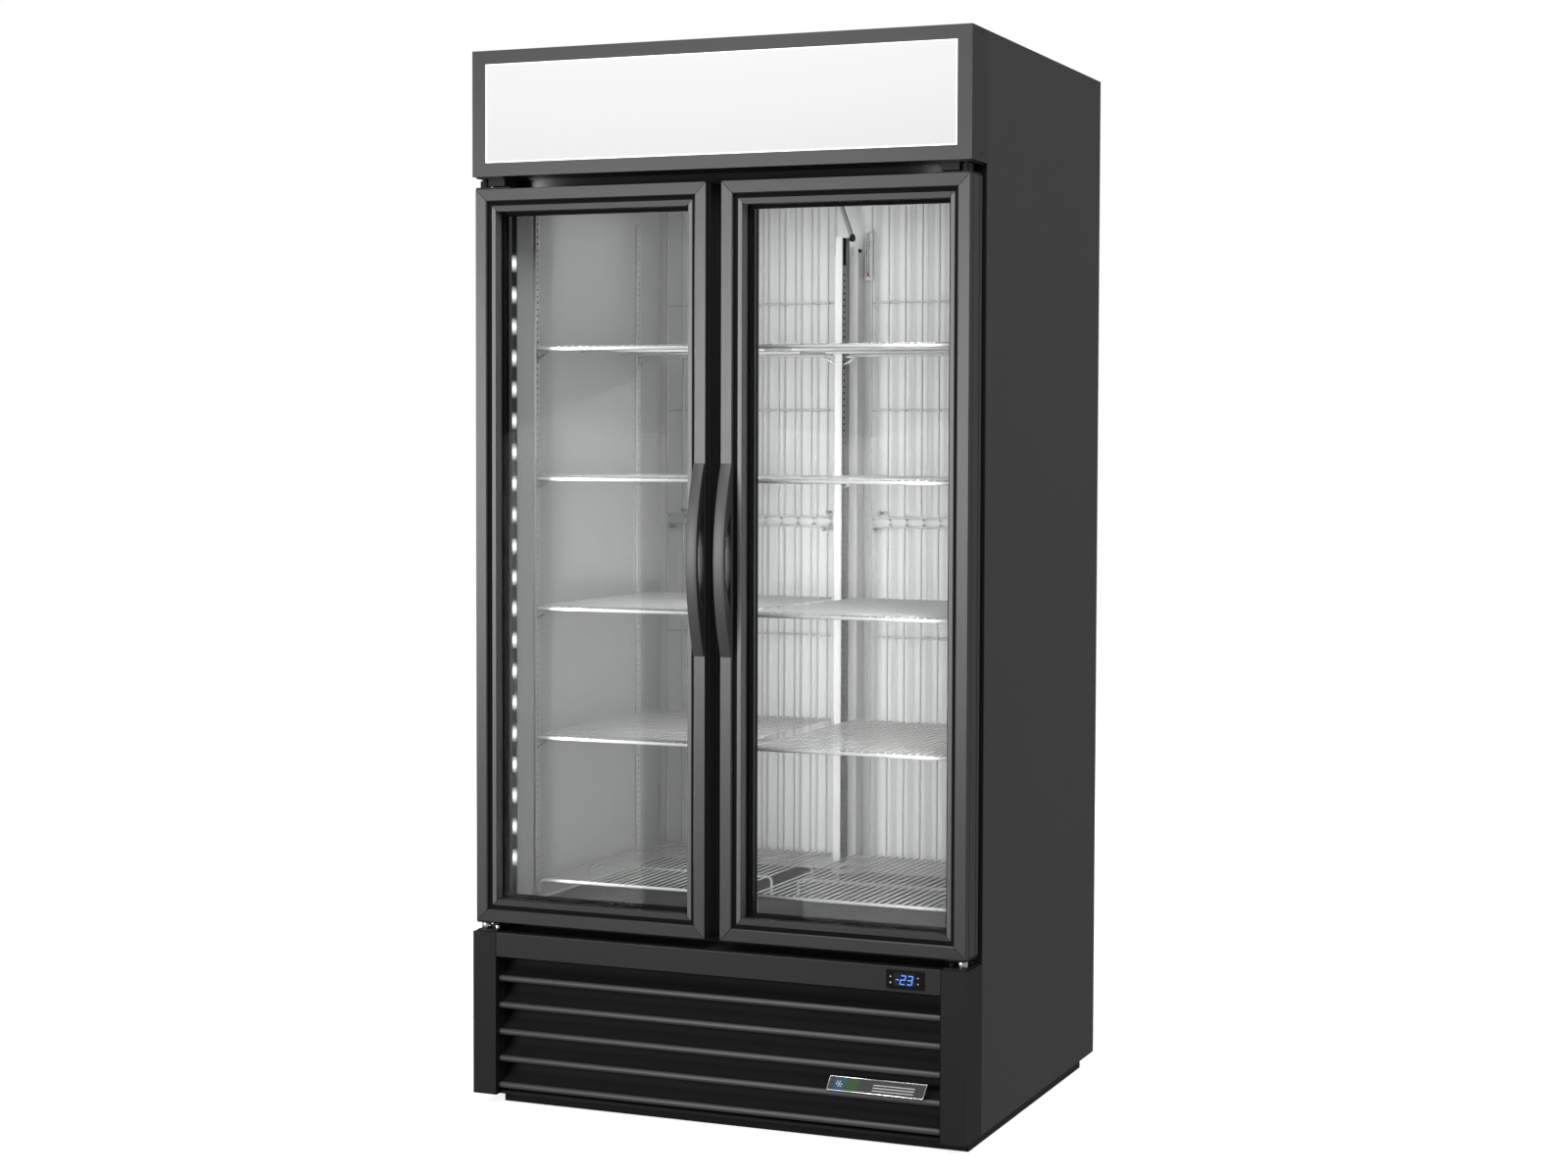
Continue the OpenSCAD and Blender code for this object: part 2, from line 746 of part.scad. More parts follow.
// The fans' motors: one hangs over the evaporator cover, one stands behind the shroud
module fan_motors() {
    half_arm = motor_arm_w / 2;
    upper_arm = 130;
    lower_arm = 120;
    post_t = 10;
    foot_t = 12;
    motor_z = evap_fan_z + fan_hub_h + motor_gap;
    color([0.3, 0.3, 0.32]) {
        translate([0, evap_fan_y, motor_z]) motor_can(upper_arm);
        both_sides() box(upper_arm - post_t, upper_arm, evap_fan_y - half_arm, evap_fan_y + half_arm,
                         evaporator_z + 2, motor_z + motor_arm_z);
        translate([cond_fan_x, cond_fan_y + fan_hub_h + motor_gap, cond_fan_z])
            rotate([-90, 0, 0]) motor_can(lower_arm);
        for (side = [-1, 1])
            translate([cond_fan_x + side * (lower_arm + 4) - foot_t / 2, shroud_back_y, cond_fan_z - half_arm])
                cube([foot_t, fan_hub_h + motor_gap + motor_arm_z + 8, motor_arm_w]);
    }
}

// Sealed can on a plate with four rubber feet
module compressor() {
    can_outline = [[0, 22], [86, 22], [98, 36], [98, 128], [90, 158], [68, 182], [36, 196], [0, 200]];
    plate = [220, 180, 9];
    foot_h = 14;
    foot_d = 26;
    foot_x = 95;
    foot_y = 75;
    color([0.06, 0.06, 0.065]) translate([-250, 150, base_h]) {
        rotate_extrude() polygon(can_outline);
        translate([-plate[0] / 2, -plate[1] / 2, foot_h]) cube(plate);
        for (x = [-foot_x, foot_x], y = [-foot_y, foot_y])
            translate([x, y, 0]) cylinder(d = foot_d, h = foot_h + 1);
    }
}

// Tray that catches and evaporates the defrost water
module drip_pan() {
    size = [340, 190, 45];
    wall = 2;
    color([0.75, 0.76, 0.78]) translate([60, 120, base_h]) difference() {
        cube(size);
        translate([wall, wall, wall]) cube([size[0] - 2 * wall, size[1] - 2 * wall, size[2]]);
    }
}

// Electrical box with a lid that overhangs it
module control_box() {
    size = [180, 100, 190];
    lid_t = 4;
    lid_reach = 5;
    color([0.7, 0.71, 0.72]) translate([250, -220, base_h]) {
        cube(size);
        translate([-lid_reach, -lid_t, lid_reach]) cube([size[0] + 2 * lid_reach, lid_t, size[2]]);
    }
}

gland_x = -380;
gland_z = 120;
gland_hole_r = 11;
gland_bore_r = 6;
gland_len = 18;
gland_lip = 4;
// Grommet for a mains lead, in the rear panel
module cord_gland() {
    color([0.04, 0.04, 0.045]) translate([gland_x, back_y, gland_z]) rotate([90, 0, 0]) difference() {
        union() {
            cylinder(r = gland_hole_r, h = gland_len);
            translate([0, 0, skin_t]) cylinder(r = gland_hole_r + gland_lip, h = gland_lip);
        }
        translate([0, 0, -1]) cylinder(r = gland_bore_r, h = gland_len + 2);
    }
}

// ---------------------------------------------------------------- hinges

// Upper brackets hang under the sign, lower ones stand on the columns; each holds its pin
module hinge_brackets() {
    plate_front_y = pivot_y - 16;
    outer_x = pivot_x + 11;
    upper_x = pivot_x - 46;
    lower_x = pivot_x - 31;
    block_h = 14;
    collar_d = 17;
    collar_h = 8;
    stop_d = 11;
    stop_h = 7;
    under_sign_z = sign_z0 - hinge_plate_t;
    on_deck_z = deck_z + hinge_plate_t;
    color([0.6, 0.6, 0.62]) both_sides() {
        box(upper_x, outer_x, plate_front_y, seam_y, under_sign_z, sign_z0);
        box(upper_x, pivot_x - 11.5, plate_front_y + 6, pivot_y + 40, under_sign_z - block_h, under_sign_z);
        bar_z([pivot_x, pivot_y, door_z1 - bush_deep + 2], top_gap + bush_deep - 2 - hinge_plate_t, pin_d);
        box(lower_x, outer_x, plate_front_y, seam_y, deck_z, on_deck_z);
        bar_z([pivot_x, pivot_y, on_deck_z], collar_h, collar_d);
        bar_z([pivot_x, pivot_y, on_deck_z + collar_h], low_gap + bush_deep - collar_h - 5, pin_d);
        bar_z([pivot_x - 22, pivot_y + 4, on_deck_z], stop_h, stop_d);
    }
}

sign_screw_y = seam_y - 33;
sign_screw_levels = [sign_z0 + 13, cab_h - 10];
// Countersunk screws in the sign's sides and pan screws on the lower hinge brackets
module screws() {
    head_d = 9;
    shank_d = 4.5;
    shank_len = 10;
    color([0.1, 0.1, 0.1]) both_sides() {
        for (z = sign_screw_levels) {
            bar_x([half_w - 2, sign_screw_y, z], 1.8, head_d);
            bar_x([half_w - 2 - shank_len, sign_screw_y, z], shank_len, shank_d);
        }
        for (x = [pivot_x - 22, pivot_x])
            bar_z([x, seam_y - 14, deck_z + hinge_plate_t], 3.5, head_d);
    }
}

// ---------------------------------------------------------------- doors

// Section of a door bar. First number: inward from the door's edge.
// Second number: back from the door's front face.
frame_section = [
    [1.2, 0], [face_w, 0], [face_w, 8], [face_w + 6.5, 8], [face_w + 6.5, 48], [glass_inset, 48],
    [glass_inset, door_t], [0, door_t], [0, 49.5], [1.2, 48.8], [0, 48],
    [0, 16.5], [1.5, 15.6], [0, 14.7], [0, 1.2]
];
bead_section = [
    [face_w + 6.5, 12], [face_w + 9, 10], [glass_inset - 1.5, 10], [glass_inset, 12],
    [glass_inset, 24], [face_w + 6.5, 24]
];
gasket_x0 = pivot_inset - door_inset;
gasket_section = [
    [gasket_x0, door_t], [gasket_x0 + 16, door_t], [gasket_x0 + 16, door_t + 5],
    [gasket_x0 + 14, door_t + gasket_t], [gasket_x0 + 1, door_t + gasket_t], [gasket_x0, door_t + 5]
];

// One bar along the door's lower edge, between mitred ends, of the given section
module mitred_bar(section, len) {
    reach = glass_inset + 1;
    g = part_gap / 2;
    intersection() {
        rotate([90, 0, 90]) linear_extrude(len) polygon([for (p = section) [p[1], p[0]]]);
        translate([0, door_t + gasket_t + 1, 0]) rotate([90, 0, 0])
            linear_extrude(door_t + gasket_t + 2)
                polygon([[g, 0], [len - g, 0], [len - reach - g, reach], [reach + g, reach]]);
    }
}

// Four mitred bars around a right-hand door
module door_ring(section) {
    translate([door_x0, door_front_y, door_z0]) {
        mitred_bar(section, door_w);
        translate([door_w, 0, 0]) rotate([0, -90, 0]) mitred_bar(section, door_h);
        translate([door_w, 0, door_h]) rotate([0, -180, 0]) mitred_bar(section, door_w);
        translate([0, 0, door_h]) rotate([0, 90, 0]) mitred_bar(section, door_h);
    }
}

module door_frame() {
    color([0.2, 0.2, 0.21]) difference() {
        door_ring(frame_section);
        bar_z([pivot_x, pivot_y, door_z1 - bush_deep], bush_deep + 1, 2 * bush_hole_r);
        bar_z([pivot_x, pivot_y, door_z0 - 1], bush_deep + 1, 2 * bush_hole_r);
    }
}

module door_bead() {
    color([0.1, 0.1, 0.105]) door_ring(bead_section);
}

module door_gasket() {
    color([0.03, 0.03, 0.03]) door_ring(gasket_section);
}

// Sealed unit of three panes held apart by two spacers
module door_glass() {
    inset = face_w + 9;
    pane_t = 4;
    pane_step = 9;
    seal = 0.1;
    unit_y = door_front_y + 24;
    x0 = door_x0 + inset;
    x1 = door_x1 - inset;
    z0 = door_z0 + inset;
    z1 = door_z1 - inset;
    spacer = 7;
    color([0.7, 0.8, 0.82, 0.3]) {
        for (k = [0:2])
            box(x0, x1, unit_y + k * pane_step, unit_y + k * pane_step + pane_t, z0, z1);
        for (k = [0:1]) difference() {
            y0 = unit_y + k * pane_step + pane_t + seal;
            y1 = unit_y + (k + 1) * pane_step - seal;
            box(x0, x1, y0, y1, z0, z1);
            box(x0 + spacer, x1 - spacer, y0 - 1, y1 + 1, z0 + spacer, z1 - spacer);
        }
    }
}

// Height of a circular arc over a chord of half-length c with rise s, at distance z from its middle
function arc_rise(z, c, s) =
    let (r = (c * c + s * s) / (2 * s)) s - r + sqrt(r * r - z * z);

// Bow handle on the door's inner edge: thin at its ends, with an open finger gap behind it
module door_handle() {
    half = handle_len / 2;
    end_t = 3;
    gap_half = 94;
    gap_d = handle_reach - 9;
    steps = 12;
    outer = [for (k = [-steps:steps]) let (z = half * k / steps)
        [-end_t - arc_rise(z, half, handle_reach - end_t), z]];
    inner = [for (k = [steps:-1:-steps]) let (z = gap_half * k / steps)
        [-arc_rise(z, gap_half, gap_d), z]];
    color([0.22, 0.22, 0.23]) translate([door_x0 + 1.7, door_front_y, handle_z])
        rotate([90, 0, 90]) linear_extrude(handle_w)
            polygon(concat(outer, [[0, half]], inner, [[0, -half]]));
}

// Hinge bushes pressed into the door's corners, each with its cover plate
module door_bushes() {
    bore_r = pin_d / 2 + running_gap;
    upper_x = door_x1 - 73;
    lower_x = door_x1 - 38;
    plate_y0 = door_front_y + 3;
    plate_y1 = door_back_y - 4;
    collar_h = 16;
    color([0.08, 0.08, 0.085]) {
        difference() {
            union() {
                box(upper_x, door_x1, plate_y0, plate_y1, door_z1, door_z1 + hinge_plate_t);
                bar_z([pivot_x, pivot_y, door_z1], collar_h, 2 * bush_r);
                bar_z([pivot_x, pivot_y, door_z1 - bush_deep + 0.5], bush_deep, 2 * bush_r);
            }
            bar_z([pivot_x, pivot_y, door_z1 - bush_deep - 1], bush_deep + 20, 2 * bore_r);
        }
        difference() {
            union() {
                box(lower_x, door_x1, plate_y0, plate_y1, door_z0 - hinge_plate_t, door_z0);
                bar_z([pivot_x, pivot_y, door_z0 - 1], bush_deep + 0.5, 2 * bush_r);
            }
            bar_z([pivot_x, pivot_y, door_z0 - 5], bush_deep + 10, 2 * bore_r);
        }
    }
}

// ---------------------------------------------------------------- nodes

side_panels();
top_panel();
rear_panel();
foam_insulation();
liner();
rear_wall_panel();
door_jamb();
center_mullion();
base_frame();
corner_columns();
grille_header();
front_grille();
sign_housing();
sign_panel();
light_strips();
badge();
controller();
key_at(key_left_x, key_high_z);  // key_set
key_at(key_left_x, key_low_z);  // key_power
key_at(key_right_x, key_high_z);  // key_up
key_at(key_right_x, key_low_z);  // key_down
pilasters();
shelf_clips();
floor_racks();
rear_guards();
mirror([1, 0, 0]) shelf(shelf_z0);  // shelf_left_1
mirror([1, 0, 0]) shelf(shelf_z0 + shelf_pitch);  // shelf_left_2
mirror([1, 0, 0]) shelf(shelf_z0 + 2 * shelf_pitch);  // shelf_left_3
mirror([1, 0, 0]) shelf(shelf_z0 + 3 * shelf_pitch);  // shelf_left_4
shelf(shelf_z0);  // shelf_right_1
shelf(shelf_z0 + shelf_pitch);  // shelf_right_2
shelf(shelf_z0 + 2 * shelf_pitch);  // shelf_right_3
shelf(shelf_z0 + 3 * shelf_pitch);  // shelf_right_4
evaporator_cover();
evaporator_coil();
evaporator_fan();
fan_motors();
drain_tube();
thermometer();
compressor();
condenser_coil();
condenser_fan();
fan_shroud();
drip_pan();
control_box();
cord_gland();
hinge_brackets();
screws();
mirror([1, 0, 0]) door_frame();  // left_door_frame
mirror([1, 0, 0]) door_bead();  // left_door_bead
mirror([1, 0, 0]) door_glass();  // left_door_glass
mirror([1, 0, 0]) door_gasket();  // left_door_gasket
mirror([1, 0, 0]) door_handle();  // left_door_handle
mirror([1, 0, 0]) door_bushes();  // left_door_bushes
door_frame();  // right_door_frame
door_bead();  // right_door_bead
door_glass();  // right_door_glass
door_gasket();  // right_door_gasket
door_handle();  // right_door_handle
door_bushes();  // right_door_bushes
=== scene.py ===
"""Glass door merchandiser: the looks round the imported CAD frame.

Every piece is built in millimetres from the boxes of the CAD nodes, and is made
into an object in metres by Shape.make().
"""

import math

import bmesh
import bpy
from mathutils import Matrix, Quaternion, Vector


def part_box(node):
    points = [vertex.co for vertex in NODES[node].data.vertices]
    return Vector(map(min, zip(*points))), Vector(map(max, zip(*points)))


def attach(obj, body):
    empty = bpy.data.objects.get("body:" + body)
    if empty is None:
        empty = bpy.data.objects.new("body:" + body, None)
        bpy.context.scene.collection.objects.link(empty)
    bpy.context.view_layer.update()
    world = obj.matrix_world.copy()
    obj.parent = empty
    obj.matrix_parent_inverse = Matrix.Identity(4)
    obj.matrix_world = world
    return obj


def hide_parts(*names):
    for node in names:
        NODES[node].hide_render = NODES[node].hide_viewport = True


MM = 0.001
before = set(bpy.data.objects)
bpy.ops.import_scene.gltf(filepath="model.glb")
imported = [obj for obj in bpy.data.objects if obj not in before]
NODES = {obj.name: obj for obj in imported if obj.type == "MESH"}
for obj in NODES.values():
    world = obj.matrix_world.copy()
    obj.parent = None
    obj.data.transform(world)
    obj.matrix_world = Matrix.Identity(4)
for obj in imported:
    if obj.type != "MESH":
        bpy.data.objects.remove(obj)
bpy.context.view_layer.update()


def span(node):
    """Lowest and highest corner of a CAD node, in millimetres."""
    low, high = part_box(node)
    return low / MM, high / MM


# ---------------------------------------------------------------- camera, light and floor


CAMERA_PLACE = (2.0188, -4.5125, 1.2661)
CAMERA_YAW_PITCH_ROLL = (-20.7375, -2.1898, 0.3185)
WHITE = (1, 1, 1, 1)
SURROUND_STRENGTH = 0.30
FLOOR_HALF = 12000.0


def make_camera():
    """Three-quarter view from the front right, at chest height."""
    yaw, pitch, roll = (math.radians(a) for a in CAMERA_YAW_PITCH_ROLL)
    flat = math.cos(pitch)
    look = Vector((math.sin(yaw) * flat, math.cos(yaw) * flat, math.sin(pitch)))
    data = bpy.data.cameras.new("camera")
    data.lens = 57.753
    data.sensor_width = 36.0
    data.shift_x = -0.1
    data.shift_y = -0.03125
    camera = bpy.data.objects.new("camera", data)
    camera.location = CAMERA_PLACE
    camera.rotation_mode = "QUATERNION"
    camera.rotation_quaternion = look.to_track_quat("-Z", "Y") @ Quaternion((0, 0, 1), roll)
    bpy.context.scene.collection.objects.link(camera)
    bpy.context.scene.camera = camera


def area_light(name, place, aim, size, power, spread=180.0):
    """A rectangular soft light at place that faces aim. size is (width, height) in metres."""
    data = bpy.data.lights.new(name, "AREA")
    data.shape = "RECTANGLE"
    data.size, data.size_y = size
    data.energy = power
    data.spread = math.radians(spread)
    lamp = bpy.data.objects.new(name, data)
    lamp.location = place
    direction = Vector(aim) - Vector(place)
    lamp.rotation_mode = "QUATERNION"
    lamp.rotation_quaternion = direction.to_track_quat("-Z", "Y")
    lamp.visible_camera = False
    bpy.context.scene.collection.objects.link(lamp)
    return lamp


def make_studio():
    """A white backdrop, a dim grey surround, one wide key light on the left and soft fill."""
    world = bpy.data.worlds.new("studio")
    bpy.context.scene.world = world
    world.use_nodes = True
    tree = world.node_tree
    surround = feed(tree, tree.nodes["Background"], {"Color": WHITE, "Strength": SURROUND_STRENGTH})
    backdrop = add_node(tree, "Background", {"Color": WHITE, "Strength": 1.0})
    seen = add_node(tree, "LightPath").outputs["Is Camera Ray"]
    mix = add_node(tree, "MixShader", {"Fac": seen, 1: surround.outputs[0], 2: backdrop.outputs[0]})
    feed(tree, tree.nodes["World Output"], {"Surface": mix.outputs[0]})
    bpy.context.scene.view_settings.view_transform = "Standard"
    bpy.context.scene.cycles.transparent_max_bounces = 24
    area_light("key_light", (-2.35, -5.2, 1.3), (0, -0.36, 1.2), (2.5, 1.4), 150)
    area_light("top_light", (0.2, -2.4, 4.0), (0, -0.3, 0.6), (3.2, 2.2), 110)
    area_light("side_light", (4.5, -0.4, 2.9), (0.5, 0, 1.2), (1.6, 1.6), 45)
    area_light("rear_light", (-1.5, 4.0, 2.6), (0, 0.4, 1.0), (2.0, 2.0), 60)


def make_floor():
    """A plain pale floor."""
    half, top = FLOOR_HALF, -0.5
    rows = [[(-half, y, top), (half, y, top)] for y in (-half, half)]
    shape = Shape().loft(rows, closed=False)
    paint = surface("floor_paint", (0.9, 0.9, 0.9), 0.7, cloud=(0.6, 0.01), glow=0.85)
    floor = shape.object("floor", paint)
    floor.visible_diffuse = False
    floor.visible_glossy = False


# ---------------------------------------------------------------- materials


def feed(tree, node, inputs):
    """Sets inputs of a shader node, each to a value or to the socket that feeds it."""
    for name, value in inputs.items():
        if isinstance(value, bpy.types.NodeSocket):
            tree.links.new(value, node.inputs[name])
        else:
            node.inputs[name].default_value = value
    return node


def add_node(tree, kind, inputs=None, **settings):
    """A new shader node with its settings and inputs."""
    node = tree.nodes.new("ShaderNode" + kind)
    for name, value in settings.items():
        setattr(node, name, value)
    return feed(tree, node, inputs or {})


def calculated(tree, operation, *values):
    """The result of a Math node; each value is a number or a socket."""
    return add_node(tree, "Math", dict(enumerate(values)), operation=operation).outputs[0]


def new_material(name):
    """A material, its node tree, its main shader and its object coordinates."""
    material = bpy.data.materials.new(name)
    material.use_nodes = True
    tree = material.node_tree
    coords = add_node(tree, "TexCoord").outputs["Object"]
    return material, tree, tree.nodes["Principled BSDF"], coords


def surface(name, colour, rough, metal=0.0, specular=0.5, cloud=(4.0, 0.04), grain=(700.0, 0.03),
            stretch=(1, 1, 1), bump=0.03, rough_span=0.05, coat=0.0, glow=0.0, anisotropic=0.0):
    """A procedural finish: soft clouds of colour, and a grain in colour, roughness and height.

    cloud and grain are (scale per metre, strength), stretch scales the grain along X, Y and Z,
    and bump is the grain's height in millimetres.
    """
    material, tree, shader, coords = new_material(name)
    grain_coords = add_node(tree, "Mapping", {"Scale": stretch, "Vector": coords}).outputs["Vector"]

    def noise(scale, source):
        return add_node(tree, "TexNoise", {"Scale": scale, "Detail": 2.0, "Vector": source}).outputs["Fac"]

    def spread(value, lowest, half):
        """value from 0 to 1 becomes lowest to lowest + 2 * half."""
        return calculated(tree, "MULTIPLY_ADD", value, 2 * half, lowest)

    grains = noise(grain[0], grain_coords)
    clouds = spread(noise(cloud[0], coords), 1.0 - cloud[1], cloud[1])
    shade = spread(grains, calculated(tree, "SUBTRACT", clouds, grain[1]), grain[1])
    tint = add_node(tree, "VectorMath", {0: colour, "Scale": shade}, operation="SCALE").outputs["Vector"]
    height = add_node(tree, "Bump", {"Distance": bump * MM, "Height": grains})
    feed(tree, shader, {
        "Base Color": tint, "Roughness": spread(grains, rough - rough_span, rough_span),
        "Normal": height.outputs["Normal"], "Metallic": metal, "Specular IOR Level": specular,
        "Coat Weight": coat, "Anisotropic": anisotropic,
    })
    if glow:
        feed(tree, shader, {"Emission Color": tint, "Emission Strength": glow})
    return material


def clear_glass(name, tint, gloss=1.0):
    """Clear sheet glass: light passes straight through, and the surface mirrors by Fresnel."""
    material, tree, shader, coords = new_material(name)
    tree.nodes.remove(shader)
    haze = add_node(tree, "TexNoise", {"Scale": 2.5, "Vector": coords}).outputs["Fac"]
    hazy_tint = [c * 0.985 for c in tint]
    colour = add_node(tree, "Mix", {"A": (*tint, 1), "B": (*hazy_tint, 1), "Factor": haze}, data_type="RGBA")
    through = add_node(tree, "BsdfTransparent", {"Color": colour.outputs["Result"]})
    mirror = add_node(tree, "BsdfGlossy", {"Roughness": 0.02})
    fresnel = add_node(tree, "Fresnel", {"IOR": 1.45}).outputs[0]
    amount = calculated(tree, "MULTIPLY", fresnel, gloss)
    mix = add_node(tree, "MixShader", {"Fac": amount, 1: through.outputs[0], 2: mirror.outputs[0]})
    feed(tree, tree.nodes["Material Output"], {"Surface": mix.outputs[0]})
    return material


def led_lens(name, pitch, first):
    """A dark ribbed lens that glows in soft patches, one for each lamp behind it along Z."""
    material = surface(name, (0.05, 0.05, 0.055), 0.25, bump=0.02)
    tree = material.node_tree
    coords = add_node(tree, "TexCoord").outputs["Object"]
    height = add_node(tree, "SeparateXYZ", {0: coords}).outputs["Z"]
    patch_half, softness, brightness = 0.30, 1.3, 1.6

    def step(operation, *values):
        return calculated(tree, operation, *values)

    turns = step("DIVIDE", step("SUBTRACT", height, first * MM), pitch * MM)
    off_centre = step("ABSOLUTE", step("SUBTRACT", step("FRACT", turns), 0.5))
    patch = step("MAXIMUM", step("SUBTRACT", 1.0, step("DIVIDE", off_centre, patch_half)), 0.0)
    lit = step("LESS_THAN", step("ABSOLUTE", step("SUBTRACT", turns, LED_COUNT / 2)), LED_COUNT / 2)
    glow = step("MULTIPLY", lit, step("POWER", patch, softness))
    feed(tree, tree.nodes["Principled BSDF"], {
        "Emission Color": (0.95, 0.97, 1.0, 1), "Emission Strength": step("MULTIPLY", glow, brightness)})
    return material


def zinc(name, colour, rough, scale=60.0):
    """Spangled zinc plate: flat crystals that differ in gloss."""
    material = surface(name, colour, rough, metal=0.9, bump=0.01)
    tree = material.node_tree
    coords = add_node(tree, "TexCoord").outputs["Object"]
    cells = add_node(tree, "TexVoronoi", {"Scale": scale, "Vector": coords})
    tone = add_node(tree, "SeparateColor", {0: cells.outputs["Color"]}).outputs[0]
    gloss = add_node(tree, "MapRange", {"To Min": rough - 0.1, "To Max": rough + 0.12, "Value": tone})
    feed(tree, tree.nodes["Principled BSDF"], {"Roughness": gloss.outputs[0]})
    return material


